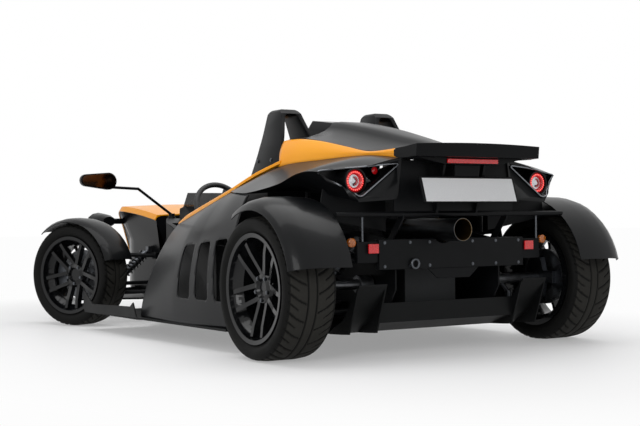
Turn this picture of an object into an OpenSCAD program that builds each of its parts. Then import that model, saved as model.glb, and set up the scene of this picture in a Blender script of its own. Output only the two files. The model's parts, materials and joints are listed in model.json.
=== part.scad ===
// Open two-seat track sports car: moulded tub, exposed suspension, separate
// wing panels, twin roll hoops and a mid engine under a snorkel cover.
// Frame: +X forward, +Y left, +Z up, origin on the ground under the middle.

/* [Overall] */
// Length over nose and tail spoiler
length = 3738; // [3600:1:3900]
// Distance between the axles
wheelbase = 2430; // [2380:1:2480]
// Tail spoiler's reach behind the rear axle
rear_overhang = 446; // [400:1:500]
// Underside of the floor above the ground
ride_height = 100; // [85:1:120]
// Angle the front wheels are parked at, turned left
park_steer = 26; // [0:1:28]

/* [Wheels] */
// Front track
front_track = 1644; // [1620:1:1670]
// Rear track
rear_track = 1626; // [1610:1:1660]
// Front tyre outer radius
front_tyre_r = 306; // [295:1:312]
// Rear tyre outer radius
rear_tyre_r = 319; // [310:1:326]
// Front tyre section width
front_tyre_w = 212; // [195:1:222]
// Rear tyre section width
rear_tyre_w = 255; // [235:1:265]
// Front rim bead seat radius
front_rim_r = 216; // [203:1:220]
// Rear rim bead seat radius
rear_rim_r = 228; // [216:1:232]
// Front brake disc radius
front_disc_r = 150; // [135:1:155]
// Rear brake disc radius
rear_disc_r = 140; // [125:1:150]
// Number of twin spokes in each rim
spoke_pairs = 5; // [4:1:6]
// Kingpin axis inboard of the wheel's middle plane
kingpin_inset = 80; // [76:1:86]

/* [Body] */
// Moulded panel wall
panel_t = 6; // [4:0.5:9]
// Half width of the tub outside
tub_half = 528; // [505:1:536]
// Tub side wall
tub_wall = 34; // [20:1:50]
// Half width of the nose at the suspension pickups
nose_half = 330; // [310:1:345]
// Height of the roll hoop tops
hoop_top = 1196; // [1150:1:1210]
// Number of gills in each side panel
gill_count = 4; // [3:1:5]
// Gill opening width
gill_w = 112; // [80:1:130]
// Distance between gills
gill_pitch = 180; // [160:1:185]
// Gap left where two fixed panels meet
seam = 0.5; // [0.3:0.1:0.8]

/* [Hidden] */
$fn = 48;
xr = -length / 2 + rear_overhang;
xf = xr + wheelbase;
floor_t = 12;
floor_top = ride_height + floor_t;
run_gap = 0.3;
plate_y = 306;
orange = "#f39a1e";
anthracite = "#3b3c3a";
satin_black = "#1d1e20";
gloss_black = "#0e0e10";
carbon = "#17181a";
metal = "#8e9196";

// Curves and lofted surfaces

// A line through points that are sorted by their first value, as a smooth
// cubic; the result at a is a point of the same kind.
function span_of(a, pts, i = 0) =
  (i >= len(pts) - 2 || a < pts[i + 1][0]) ? i : span_of(a, pts, i + 1);
function slope_at(pts, i) =
  let (lo = max(i - 1, 0), hi = min(i + 1, len(pts) - 1))
  (pts[hi] - pts[lo]) / (pts[hi][0] - pts[lo][0]);
function along(a, pts) =
  let (i = span_of(a, pts), h = pts[i + 1][0] - pts[i][0], t = (a - pts[i][0]) / h)
  (2 * t ^ 3 - 3 * t ^ 2 + 1) * pts[i] + (t ^ 3 - 2 * t ^ 2 + t) * h * slope_at(pts, i)
  + (3 * t ^ 2 - 2 * t ^ 3) * pts[i + 1] + (t ^ 3 - t ^ 2) * h * slope_at(pts, i + 1);

// Cubic Bezier through four control points, or quadratic through three.
function bezier4(p, t) =
  (1 - t) ^ 3 * p[0] + 3 * t * (1 - t) ^ 2 * p[1] + 3 * t ^ 2 * (1 - t) * p[2] + t ^ 3 * p[3];
function bezier3(p, t) = (1 - t) ^ 2 * p[0] + 2 * t * (1 - t) * p[1] + t ^ 2 * p[2];
function mix(a, b, t) = a + (b - a) * t;
function clamp01(t) = max(0, min(1, t));
function steps(from, to, n) = [for (i = [0:n]) mix(from, to, i / n)];
// A point given as distance ahead of the rear axle, y and z.
function rear(p) = [xr + p[0], p[1], p[2]];
// A point given as distance ahead of the front axle, y and z.
function front(p) = [xf + p[0], p[1], p[2]];

// Closed solid through rings of points; the first ring runs clockwise as
// seen from outside the solid.
module skin(rings) {
  n = len(rings[0]);
  m = len(rings);
  polyhedron(
    [for (r = rings) each r],
    concat(
      [[for (j = [0:n - 1]) j]],
      [for (i = [0:m - 2]) for (j = [0:n - 1])
        let (k = (j + 1) % n) each [
          [i * n + j, (i + 1) * n + j, i * n + k],
          [i * n + k, (i + 1) * n + j, (i + 1) * n + k]]],
      [[for (j = [n - 1:-1:0]) (m - 1) * n + j]]
    ),
    convexity = 6
  );
}

function unit(v) = v / norm(v);
// Outward normal of a grid of points whose rows run rearward and whose
// columns run upward on the left side of the body.
function grid_normal(g, i, j) =
  let (m = len(g) - 1, n = len(g[0]) - 1)
  unit(cross(g[min(i + 1, m)][j] - g[max(i - 1, 0)][j],
             g[i][min(j + 1, n)] - g[i][max(j - 1, 0)]));

// Closed sheet: the grid is its outer face, and its wall lies behind it.
module sheet(g, wall) {
  m = len(g);
  n = len(g[0]);
  back = [for (i = [0:m - 1]) [for (j = [0:n - 1]) g[i][j] - wall * grid_normal(g, i, j)]];
  pts = concat([for (r = g) each r], [for (r = back) each r]);
  o = m * n;
  function at(i, j) = i * n + j;
  polyhedron(
    pts,
    concat(
      [for (i = [0:m - 2]) for (j = [0:n - 2]) each [
        [at(i, j), at(i, j + 1), at(i + 1, j)],
        [at(i + 1, j), at(i, j + 1), at(i + 1, j + 1)],
        [o + at(i, j), o + at(i + 1, j), o + at(i, j + 1)],
        [o + at(i + 1, j), o + at(i + 1, j + 1), o + at(i, j + 1)]]],
      [for (i = [0:m - 2]) each [
        [at(i, 0), at(i + 1, 0), o + at(i, 0)], [at(i + 1, 0), o + at(i + 1, 0), o + at(i, 0)],
        [at(i + 1, n - 1), at(i, n - 1), o + at(i, n - 1)],
        [at(i + 1, n - 1), o + at(i, n - 1), o + at(i + 1, n - 1)]]],
      [for (j = [0:n - 2]) each [
        [at(0, j + 1), at(0, j), o + at(0, j)], [at(0, j + 1), o + at(0, j), o + at(0, j + 1)],
        [at(m - 1, j), at(m - 1, j + 1), o + at(m - 1, j)],
        [at(m - 1, j + 1), o + at(m - 1, j + 1), o + at(m - 1, j)]]]
    ),
    convexity = 6
  );
}

module both_sides() {
  children();
  mirror([0, 1, 0]) children();
}
module side(s) {
  if (s > 0) children();
  else mirror([0, 1, 0]) children();
}

// Straight round tube between two points.
module tube(p, q, r) {
  d = q - p;
  translate(p)
    rotate([0, acos(d[2] / norm(d)), atan2(d[1], d[0])])
      cylinder(r = r, h = norm(d), $fn = 32);
}

// Plate cut from a side-view outline, spanning y0 to y1.
module side_plate(outline, y0, y1) {
  translate([0, y1, 0]) rotate([90, 0, 0]) linear_extrude(y1 - y0) polygon(outline);
}
// Plate cut from a plan outline, spanning z0 to z1.
module plan_plate(outline, z0, z1) {
  translate([0, 0, z0]) linear_extrude(z1 - z0) polygon(outline);
}
function mirrored(half) =
  concat(half, [for (i = [len(half) - 1:-1:0]) [half[i][0], -half[i][1]]]);

// Key lines of the left body side: distance ahead of the rear axle, y, z

panel_rear = 378;
panel_top_front = 1545;
panel_foot_front = 1350;
split = 829;
strip_line = [[552, 455, 905], [690, 540, 838], [829, 600, 765], [1200, 578, 682], [1545, 552, 606]];
shoulder_rear = [[378, 742, 742], [600, 690, 752], [829, 600, 765]];
flank_foot = [[-247, 312, 905], [-67, 356, 921], [250, 415, 918], [552, 455, 905], [600, 470, 886]];
flank_top = [[-247, 300, 940], [-67, 345, 932], [100, 358, 962], [300, 372, 1000], [480, 382, 1026],
             [600, 388, 1026]];
function shoulder(a) = a >= split ? along(a, strip_line) : along(a, shoulder_rear);

// Side panel with its gills

panel_foot = [[378, 852, 0], [700, 872, 0], [1050, 878, 0], [1350, 868, 0]];
panel_rows = 9;
panel_stations = concat(steps(panel_rear, split, 6), steps(split, panel_top_front, 9));
panel_list = [for (i = [0:len(panel_stations) - 1]) if (i != 7) panel_stations[i]];

function panel_point(a, t) =
  let (
    share = (a - panel_rear) / (panel_top_front - panel_rear),
    foot_a = mix(panel_rear, panel_foot_front, share),
    foot = [foot_a, along(foot_a, panel_foot)[1], floor_top + 1.4],
    top = shoulder(a),
    bulge = clamp01((panel_top_front - a) / 520),
    low = [mix(foot_a, a, 0.2), foot[1] + mix(-15, 25, bulge), mix(floor_top, top[2], 0.26)],
    high = [mix(foot_a, a, 0.7), mix(top[1], foot[1], mix(0.42, 0.75, bulge)),
            mix(top[2], floor_top, 0.2)]
  )
  rear(bezier4([foot, low, high, top], t));

// The leading edge rolls inward behind the front wheel.
edge_roll = [[18, -9, 0], [22, -40, 0]];
function panel_grid() =
  concat(
    [for (k = [1:-1:0]) [for (j = [0:panel_rows])
      panel_point(panel_top_front, j / panel_rows) + edge_roll[k]]],
    [for (i = [len(panel_list) - 1:-1:0]) [for (j = [0:panel_rows])
      panel_point(panel_list[i], j / panel_rows)]]
  );

gill_first = 1005;
gill_low = 238;
gill_high = 522;
gill_corner = 20;
gill_lean = 26;
module gill_cutter(a) {
  w = gill_w / 2 - gill_corner;
  translate([xr + a, 1000, 0]) rotate([90, 0, 0]) linear_extrude(420)
    hull() {
      for (s = [-1, 1]) {
        translate([s * w - gill_lean / 2, gill_low + gill_corner]) circle(gill_corner, $fn = 16);
        translate([s * w + gill_lean / 2, gill_high - gill_corner]) circle(gill_corner, $fn = 16);
      }
    }
}
module side_panel() {
  color(anthracite) difference() {
    sheet(panel_grid(), panel_t);
    for (k = [0:gill_count - 1]) gill_cutter(gill_first - k * gill_pitch);
  }
}

// Orange strip along the sill's top and the panel over the engine bay

strip_h = 34;
strip_w = 24;
function strip_ring(a) =
  let (p = along(a, strip_line) + [0, 0, 2 * seam], h = strip_h * clamp01((panel_top_front + 90 - a) / 200))
  [for (q = [[0, 0], [-2, h * 0.7], [-8, h], [-strip_w + 5, h + 2], [-strip_w, h - 6], [-strip_w, 0]])
    rear(p + [0, q[0], q[1]])];
flank_rows = 6;
function flank_point(a, t) =
  let (f = along(a, flank_foot), h = along(a, flank_top))
  rear(bezier3([f, [a, mix(f[1], h[1], 0.35) + 6, mix(f[2], h[2], 0.55)], h], t));
module flank() {
  color(orange) {
    union() {
      skin([for (a = steps(560, panel_top_front, 16)) strip_ring(a)]);
      sheet([for (a = steps(600, -240, 14)) [for (j = [0:flank_rows]) flank_point(a, j / flank_rows)]],
            panel_t);
    }
  }
}

// Tail pod: the gloss black haunch that carries the rear lamps

pod_inner = [[-262, 306, 884], [-67, 350, 908], [250, 405, 900], [552, 440, 886], [690, 512, 826],
             [800, 560, 766]];
pod_outer = [[-262, 560, 800], [-120, 690, 826], [100, 742, 782], [378, 741, 752], [600, 689, 758],
             [800, 612, 768]];
pod_keel = [[-262, 536, 706], [-120, 600, 735], [100, 650, 752], [378, 700, 748], [600, 660, 755],
            [800, 596, 767]];
pod_root = [[-262, 330, 760], [-67, 380, 790], [250, 430, 800], [552, 436, 800], [690, 500, 776],
            [800, 556, 764]];
pod_bulge = 20;
function pod_ring(a) =
  let (i = along(a, pod_inner), o = along(a, pod_outer), k = along(a, pod_keel), r = along(a, pod_root),
       c = mix(i, o, 0.55) + [0, 6, pod_bulge])
  [for (p = [k, mix(k, o, 0.55) + [0, 8, 0], o, bezier3([o, c, i], 0.3), bezier3([o, c, i], 0.65), i, r])
    rear(p)];
// Triangular lamp recess in the pod's tail: corners as y, z.
recess = [[330, 862], [648, 818], [532, 728]];
recess_r = 12;
recess_deep = 90;
tail_cut = 232;
dowel_a = 200;
dowel_y = 520;
dowel_r = 12;
dowel_top = 812;
module recess_shape(grow) {
  hull() for (p = recess) translate([-p[1], p[0]]) circle(recess_r + grow, $fn = 24);
}
module tail_pod() {
  color(gloss_black) difference() {
    skin([for (a = concat([-262, -200, -150], steps(-100, 800, 12))) pod_ring(a)]);
    translate([xr - 400, 0, 0]) rotate([0, 90, 0]) linear_extrude(400 - tail_cut + recess_deep)
      recess_shape(0);
    translate([xr + dowel_a, dowel_y, 600]) cylinder(r = dowel_r + 2, h = dowel_top + run_gap - 600);
  }
}

// Engine cover with its snorkel between the hoops

cover_top_y = [[-150, 62, 0], [70, 92, 0], [515, 118, 0], [600, 120, 0]];
cover_top_z = [[-150, 962, 0], [70, 1014, 0], [300, 1068, 0], [515, 1108, 0], [600, 1120, 0]];
cover_rows = 6;
function cover_half(a) =
  let (f = along(a, flank_top), yt = along(a, cover_top_y)[1], zt = along(a, cover_top_z)[1],
       foot = [f[1] - 0.76 * panel_t, f[2] + seam], crest = [yt, zt])
  concat(
    [for (t = steps(0, 1, cover_rows)) bezier3([foot, [yt + 40, mix(foot[1], zt, 0.25)], crest], t)],
    [[yt * 0.55, zt + 8]]
  );
function cover_row(a) =
  let (h = cover_half(a), n = len(h))
  concat([for (p = h) [xr + a, p[0], p[1]]], [for (i = [n - 1:-1:0]) [xr + a, -h[i][0], h[i][1]]]);
cover_front = 600;
snorkel_front = 845;
snorkel_foot = 935;
function snorkel_ring(a, inset) =
  let (k = (a - cover_front) / (snorkel_front - cover_front), w = 119 - inset,
       z1 = mix(1117, 1150, k) - inset, z0 = snorkel_foot + inset)
  [for (p = [[w, z0], [-w, z0], [-w, z1 - 44], [-w * 0.75, z1], [w * 0.75, z1], [w, z1 - 44]])
    [xr + a, p[0], p[1]]];
module front_outline() {
  h = cover_half(cover_front);
  polygon(concat(h, [for (i = [len(h) - 1:-1:0]) [-h[i][0], h[i][1]]]));
}
module engine_cover() {
  color(satin_black) difference() {
    union() {
      sheet([for (a = steps(cover_front, -150, 11)) cover_row(a)], panel_t);
      translate([xr + cover_front - panel_t, 0, 0]) rotate([90, 0, 90]) linear_extrude(panel_t)
        offset(delta = -panel_t / 3) front_outline();
      skin([for (a = [snorkel_front, 720, cover_front - panel_t]) snorkel_ring(a, 0)]);
    }
    skin([for (a = [snorkel_front + panel_t, 720, cover_front - 3 * panel_t]) snorkel_ring(a, panel_t)]);
  }
}

// Tail spoiler with its kicked-up lip

lip_half = 353;
spoiler_keel = 862;
function spoiler_section(y) =
  let (s = abs(y) / lip_half, z_lip = mix(954, 946, s ^ 2), back = mix(rear_overhang, rear_overhang - 8, s ^ 2),
       under = mix(spoiler_keel, 888, clamp01((s - 0.45) / 0.4)), front_a = s > 0.8 ? -266 : -160)
  [for (p = [[front_a, 926], [-280, 934], [-350, 938], [-back, z_lip], [-back + 6, mix(z_lip, under, 0.75)],
             [-back + 60, under], [-300, under], [front_a, 900]])
    [xr + p[0], y, p[1]]];
module rear_spoiler() {
  color(satin_black)
    skin([for (y = steps(lip_half, -lip_half, 14)) spoiler_section(y)]);
}

// Roll hoops: bent plate towers behind the seats

hoop_y = 291;
hoop_seat = 800;
hoop_side = [[996, 800], [690, 800], [640, 960], [745, 1080], [738, hoop_top - 30], [765, hoop_top], [820, hoop_top],
             [850, hoop_top - 50]];
module hoop_window(grow) {
  polygon([[-118 + grow, 0], [118 - grow, 0], [92 - grow, 300], [64 - grow, hoop_top - hoop_seat - 40 - grow],
           [-64 + grow, hoop_top - hoop_seat - 40 - grow], [-92 + grow, 300]]);
}
module hoop_outline() {
  polygon([[-148, 0], [148, 0], [122, 300], [96, hoop_top - hoop_seat - 22], [70, hoop_top - hoop_seat],
           [-70, hoop_top - hoop_seat], [-96, hoop_top - hoop_seat - 22], [-122, 300]]);
}
module roll_hoop() {
  color(satin_black) intersection() {
    translate([xr + 400, hoop_y, hoop_seat]) rotate([90, 0, 90]) linear_extrude(800) difference() {
      hoop_outline();
      translate([0, -1]) hoop_window(0);
    }
    side_plate([for (p = hoop_side) [xr + p[0], p[1]]], 0, 600);
  }
}

// Tub: moulded monocoque with an open cockpit and a closed footwell

tub_rear = 700;
tub_front = 2200;
sill_z = 548;
cowl_z = 640;
bulkhead_z = hoop_seat;
bay_end = 900;
module tub_plan(inset) {
  polygon(mirrored([[xr + tub_rear - 1 + inset * 2, 452 - inset], [xr + 1000, 452 - inset], [xr + 1040, tub_half - inset],
                    [xr + 1760, tub_half - inset], [xr + tub_front - inset, 318 - inset]]));
}
boss_a = 1940;
boss_y = 408;
boss_top = 650;
module tub() {
  color(carbon) union() {
    both_sides() translate([xr + boss_a, boss_y, boss_top - 60]) cylinder(r = 24, h = 60);
    tub_shell();
  }
}
module tub_shell() {
  difference() {
    intersection() {
      translate([0, 0, floor_top]) linear_extrude(900) tub_plan(0);
      side_plate([for (p = [[tub_rear, floor_top], [tub_front, floor_top], [tub_front, 600], [1860, cowl_z],
                            [1700, 600], [1560, sill_z], [1090, sill_z], [1000, bulkhead_z], [tub_rear, bulkhead_z]])
                  [xr + p[0], p[1]]], -700, 700);
    }
    // cockpit, open upward, with a slanting back wall
    intersection() {
      translate([0, 0, floor_top + 14]) linear_extrude(900) tub_plan(tub_wall);
      side_plate([for (p = [[1130, floor_top + 14], [tub_front - 40, floor_top + 14], [tub_front - 40, 560],
                            [1760, 580], [1700, 900], [1020, 900]]) [xr + p[0], p[1]]], -700, 700);
    }
    // engine bay side of the rear box is open to the rear
    translate([xr + tub_rear - 10, -410, floor_top + 40]) cube([bay_end - tub_rear + 10, 820, 560]);
  }
}

// Floor pan with its upturned front blades and jacking pads

blade_y = 905;
blade_t = 8;
blade_tip = wheelbase - 325;
pad_r = 32;
pad_h = 6;
jack_points = [[1300, 640], [560, 430]];
module floor_pan() {
  color(satin_black) union() {
    plan_plate(mirrored([for (p = [[2330, 300], [2150, 420], [1990, 560], [2010, 840], [blade_tip - 20, blade_y],
                                   [1330, blade_y], [1290, 886], [panel_rear + 4, 866], [330, 600], [60, 560], [-20, 540]])
                         [xr + p[0], p[1]]]), ride_height, floor_top);
    both_sides() side_plate([for (p = [[1330, ride_height + 1], [blade_tip - 30, ride_height + 1], [blade_tip, 118], [blade_tip - 6, 232],
                                       [blade_tip - 140, 152], [1420, 166], [1380, 190]])
                             [xr + p[0], p[1]]], blade_y - blade_t, blade_y);
    both_sides() for (p = jack_points)
      translate([xr + p[0], p[1], ride_height - pad_h]) cylinder(r = pad_r, h = pad_h + 2);
  }
}

// Diffuser: ramp with side tunnels and a chevron centre

module diffuser() {
  color(satin_black) union() {
    side_plate([for (p = [[-20.5, ride_height], [-20.5, floor_top], [-172, 160], [-178, 240], [-184, 240], [-184, 152]])
                [xr + p[0], p[1]]], -396, 396);
    both_sides() {
      for (y = [[392, 400], [540, 546]])
        side_plate([for (p = [[-20.5, ride_height], [-20.5, floor_top], [-130, 168], [-262, 330], [-180, 108], [-120, 104]])
                    [xr + p[0], p[1]]], y[0], y[1]);
      side_plate([for (p = [[-20.5, ride_height], [-20.5, floor_top], [-130, 168], [-262, 330], [-264, 322], [-134, 160], [-28, ride_height]])
                  [xr + p[0], p[1]]], 396, 544);
    }
  }
}

// Nose: crash box with the front suspension pickups, and its orange lid

nose_tip = length / 2 - xf;
nose_rear = tub_front - wheelbase;
nose_low = [[nose_rear, nose_half, 130], [0, nose_half, 150], [230, nose_half, 168], [300, nose_half - 3, 176],
            [520, 250, 215], [nose_tip, 78, 300]];
nose_deck = [[nose_rear, 392, 655], [0, 398, 690], [250, 402, 714], [330, 398, 712], [560, 268, 604],
             [nose_tip, 84, 398]];
nose_crown = 14;
function nose_ring(a) =
  let (w = along(a, nose_low), l = [a, min(w[1], nose_half), w[2]], d = along(a, nose_deck),
       waist = min(l[2] + 330, d[2] - 70))
  [for (p = [[-l[1], l[2]], [-l[1], waist], [-d[1], d[2] - 24], [-d[1] + 16, d[2]], [0, d[2] + nose_crown],
             [d[1] - 16, d[2]], [d[1], d[2] - 24], [l[1], waist], [l[1], l[2]]])
    [xf + a, p[0], p[1]]];
nose_stations = concat(steps(nose_rear, 250, 6), steps(310, nose_tip, 9));
rack_a = -106;
rack_z = 246;
rack_r = 12;
lamp_seat = 300;
lamp_arm_r = 18;
head_a = 370;
head_y = 494;
head_z = 630;
module nose_body() {
  color(satin_black) difference() {
    skin([for (i = [len(nose_stations) - 1:-1:0]) nose_ring(nose_stations[i])]);
    translate([xf + rack_a, -600, rack_z]) rotate([-90, 0, 0]) cylinder(r = rack_r + run_gap, h = 1200);
    both_sides() translate([xf + head_a - 30, lamp_seat, head_z]) rotate([-90, 0, 0]) cylinder(r = lamp_arm_r + 2, h = 300);
  }
}
lid_t = 10;
function lid_row(a) =
  let (d = along(a, nose_deck), z = d[2] + seam + lid_t)
  [for (p = [[d[1] + 12, z - 30], [d[1] - 6, z], [d[1] * 0.5, z + nose_crown * 0.6], [0, z + nose_crown + 1], [-d[1] * 0.5, z + nose_crown * 0.6],
             [-d[1] + 6, z], [-d[1] - 12, z - 30]])
    [xf + a, p[0], p[1]]];
module nose_top() {
  color(orange) sheet([for (i = [len(nose_stations) - 1:-1:0]) lid_row(nose_stations[i] - 4)], lid_t - 2);
}

// Front splitter

module front_splitter() {
  color(satin_black) union() {
    plan_plate(mirrored([for (p = [[nose_tip - 6, 120], [640, 520], [500, 760], [420, 780], [400, 640], [330, 420], [260, 300]])
                         [xf + p[0], p[1]]]), 118, 130);
    both_sides() side_plate([for (p = [[500, 120], [420, 120], [405, 200], [440, 240]]) [xf + p[0], p[1]]], 768, 776);
    both_sides() side_plate([for (p = [[260, 120], [560, 120], [520, 214], [300, 172]]) [xf + p[0], p[1]]], 60, 72);
  }
}

// Headlamp pods on the nose's shoulders

module headlamp() {
  color(satin_black) union() {
    difference() {
      skin([for (a = [-100, -40, 30, 90])
        let (k = (a + 100) / 190, w = mix(44, 80, k ^ 0.6), h = mix(30, 58, k ^ 0.6))
        [for (t = [0:30:330]) [xf + head_a + a, head_y + w * cos(t), head_z + h * sin(t)]]]);
      translate([xf + head_a + 60, head_y, head_z]) rotate([0, 90, 0]) cylinder(r = 46, h = 60);
    }
    translate([xf + head_a - 30, lamp_seat + run_gap, head_z]) rotate([-90, 0, 0]) cylinder(r = lamp_arm_r, h = head_y - lamp_seat - 10);
  }
}
module headlamp_lens() {
  color("#dfe6ee") translate([xf + head_a + 60 + run_gap, head_y, head_z]) rotate([0, 90, 0]) cylinder(r = 45, h = 22);
}

// Seats

seat_y = 268;
seat_half = 190;
pad_half = 165;
cabin_floor = floor_top + 14;
// Side outlines as distance ahead of the rear axle and z; the pads lie on the shell's own lines.
shell_front = [[1628, 196], [1204, 184], [1168, 222], [1076, 742]];
shell_back = [[1044, 748], [1128, 240], [1164, cabin_floor + run_gap], [1600, cabin_floor + run_gap], [1640, 180]];
module seat_shell() {
  color(carbon) side_plate([for (p = concat(shell_front, shell_back)) [xr + p[0], p[1]]], seat_y - seat_half, seat_y + seat_half);
}
module seat_pad() {
  g = 0.35;
  color("#202124") union() {
    side_plate([for (p = [mix(shell_front[0], shell_front[1], 0.03) + [0, g], mix(shell_front[0], shell_front[1], 0.96) + [0, g], [1222, 236], [1600, 244], [1622, 226]])
                [xr + p[0], p[1]]], seat_y - pad_half, seat_y + pad_half);
    side_plate([for (p = [mix(shell_front[2], shell_front[3], 0.01) + [g, 0], mix(shell_front[2], shell_front[3], 0.97) + [g, 0], [1112, 716], [1212, 240], [1206, 222]])
                [xr + p[0], p[1]]], seat_y - pad_half, seat_y + pad_half);
  }
}

// Dashboard, column and steering wheel

column_a = 1600;
column_z = 690;
column_tilt = 24;
column_r = 16;
wheel_r = 162;
wheel_y = 270;
socket = 12;
module on_column() {
  translate([xr + column_a, wheel_y, column_z]) rotate([0, -90 + column_tilt, 0]) children();
}
module dashboard() {
  color(carbon) union() {
    side_plate([for (p = [[1700.5, 600.5], [1858, 639.9], [1850, 700], [1790, 712], [1716, 670]]) [xr + p[0], p[1]]], -400, 400);
    on_column() translate([0, 0, -140]) cylinder(r = column_r, h = 140 + socket - run_gap);
  }
}
module steering_wheel() {
  color("#151515") on_column() union() {
    rotate_extrude($fn = 64) translate([wheel_r - 15, 20]) circle(15, $fn = 24);
    difference() {
      union() {
        translate([0, 0, 1]) cylinder(r = 42, h = 30);
        for (t = [0, 120, 240]) rotate([0, 0, t + 90]) translate([20, -16, 12]) cube([wheel_r - 30, 32, 10]);
      }
      translate([0, 0, -10]) cylinder(r = column_r + run_gap, h = 10 + socket);
    }
  }
}

module wind_deflector() {
  color([0.2, 0.22, 0.25, 0.5]) side_plate([for (p = [[1840, 703], [1846, 702], [1780, 790], [1776, 788]]) [xr + p[0], p[1]]], -380, 380);
}

// Mirrors on long stalks

mirror_a = 1758;
mirror_y = 950;
mirror_z = 853;
module mirror_arm() {
  color(satin_black) union() {
    translate(rear([boss_a, boss_y, boss_top + run_gap])) cylinder(r = 18, h = 20);
    tube(rear([boss_a, boss_y, boss_top + 12]), rear([1900, 640, 815]), 8);
    tube(rear([1900, 640, 815]), rear([mirror_a + 40, mirror_y - 60, 822]), 8);
    translate(rear([1900, 640, 815])) sphere(8.5, $fn = 24);
    hull() {
      translate(rear([mirror_a, mirror_y - 70, mirror_z])) rotate([0, 90, 0]) cylinder(r = 48, h = 30, $fn = 32);
      translate(rear([mirror_a, mirror_y + 60, mirror_z + 4])) rotate([0, 90, 0]) cylinder(r = 34, h = 26, $fn = 32);
      translate(rear([mirror_a + 70, mirror_y - 10, mirror_z])) sphere(26, $fn = 24);
    }
  }
}
module mirror_pane() {
  color("#aab4bd") translate([-4.4, 0, 0]) hull() {
    translate(rear([mirror_a, mirror_y - 70, mirror_z])) rotate([0, 90, 0]) cylinder(r = 42, h = 4, $fn = 32);
    translate(rear([mirror_a, mirror_y + 58, mirror_z + 4])) rotate([0, 90, 0]) cylinder(r = 28, h = 4, $fn = 32);
  }
}

// Fenders: crowned shells round a wheel; profile is y out from the wheel's
// middle plane and radius

module fender_shell(profile, from, to, wall, n) {
  m = len(profile) - 1;
  sheet([for (t = steps(from, to, n)) [for (j = [m:-1:0])
    [profile[j][1] * cos(t), profile[j][0], profile[j][1] * sin(t)]]], wall);
}
rear_fender_profile = [[-155, 400], [-120, 403], [-40, 406], [40, 404], [90, 392], [122, 372], [136, 346]];
front_fender_profile = [[-128, 322], [-104, 334], [-70, 342], [0, 346], [60, 344], [98, 336], [116, 322]];
fender_t = 5;
module rear_fender() {
  color(satin_black) translate([xr, rear_track / 2, rear_tyre_r])
    fender_shell(rear_fender_profile, 62, 166, fender_t, 13);
}
stay_y = [-124, -112];
stay_foot = [[74, 16], [-40, 24]];
stay_angle = [54, 150];
module front_fender() {
  color(satin_black) union() {
    fender_shell(front_fender_profile, 50, 164, fender_t, 14);
    for (k = [0, 1]) {
      r = front_fender_profile[0][1] - 2;
      head = [r * cos(stay_angle[k]), r * sin(stay_angle[k])];
      foot = stay_foot[k];
      d = head - foot;
      translate([foot[0], stay_y[0], foot[1]]) rotate([0, -atan2(d[1], d[0]), 0])
        translate([0, 0, -9]) cube([norm(d), stay_y[1] - stay_y[0], 18]);
      translate([foot[0] - 10, stay_y[0], foot[1] - 12]) cube([20, -kingpin_inset - 16 - run_gap - stay_y[0], 24]);
    }
  }
}

// Wheels: the local frame has its origin at the wheel's centre and +Y out

rim_lip = 17;
rim_wall = 9;
front_rim_w = 196;
rear_rim_w = 240;
hub_r = 74;
hub_face = 14;
spindle_r = 24;
module revolve(fn) {
  rotate([-90, 0, 0]) rotate_extrude($fn = fn) children();
}
module tyre(rad, width, rim_r, rim_w) {
  bead = rim_w / 2 - 11.5;
  shoulder = 30;
  half = width / 2;
  function side_wall() =
    concat(
      [[rim_r + run_gap, bead - 20], [rim_r + run_gap, bead], [rim_r + rim_lip + 2, bead + 0.5]],
      [for (t = steps(0.1, 0.9, 5))
        [mix(rim_r + rim_lip + 2, rad - shoulder, t), mix(bead + 0.5, half, sin(90 * min(1, 1.25 * t)))]],
      [for (t = [12:19.5:90])
        [rad - shoulder + (shoulder - 4) * sin(t), half - shoulder + shoulder * cos(t)]]
    );
  s = side_wall();
  color("#222223") revolve(96)
    polygon(concat(s, [[rad, 0.45 * half]], [[rad, -0.45 * half]],
                   [for (i = [len(s) - 1:-1:0]) [s[i][0], -s[i][1]]],
                   [[rim_r + 14, -bead + 40], [rim_r + 14, bead - 40]]));
}
module spokes_plan(rim_r) {
  reach = rim_r - 16;
  for (k = [0:spoke_pairs - 1]) rotate(k * 360 / spoke_pairs + 90)
    for (s = [-1, 1])
      polygon([[hub_r - 20, s * 30 - 11], [hub_r - 20, s * 30 + 11],
               [reach, s * (0.19 * rim_r) + 10], [reach, s * (0.19 * rim_r) - 10]]);
}
module rim(rim_r, rim_w) {
  h = rim_w / 2;
  inner = rim_r - 26;
  color("#101011") difference() {
    union() {
      revolve(96) polygon([
        [rim_r + rim_lip, h], [rim_r + rim_lip, h - 10], [rim_r, h - 11], [rim_r, h - 40], [inner, h - 66],
        [inner, 46 - h], [rim_r, 30 - h], [rim_r, 11 - h], [rim_r + rim_lip, 10 - h], [rim_r + rim_lip, -h],
        [rim_r - rim_wall, -h], [inner - rim_wall, 44 - h], [inner - rim_wall, h - 62], [rim_r - rim_wall, h - 34],
        [rim_r - 2, h - 3]]);
      intersection() {
        rotate([-90, 0, 0]) translate([0, 0, -200]) linear_extrude(400) spokes_plan(rim_r);
        revolve(96) polygon([[30, h - 58], [80, h - 50], [rim_r - 60, h - 26], [rim_r - 10, h - 18], [rim_r - 10, h - 48],
                             [rim_r - 60, h - 62], [90, hub_face + 6], [30, hub_face + 6]]);
      }
      revolve(64) polygon([[0, hub_face], [hub_r, hub_face], [hub_r, h - 66], [hub_r - 10, h - 52], [44, h - 46], [36, h - 60], [0, h - 60]]);
    }
    rotate([90, 0, 0]) translate([0, 0, -h + 70]) cylinder(r = spindle_r + run_gap, h = 300);
  }
}
disc_t = 26;
disc_back = -42;
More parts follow.
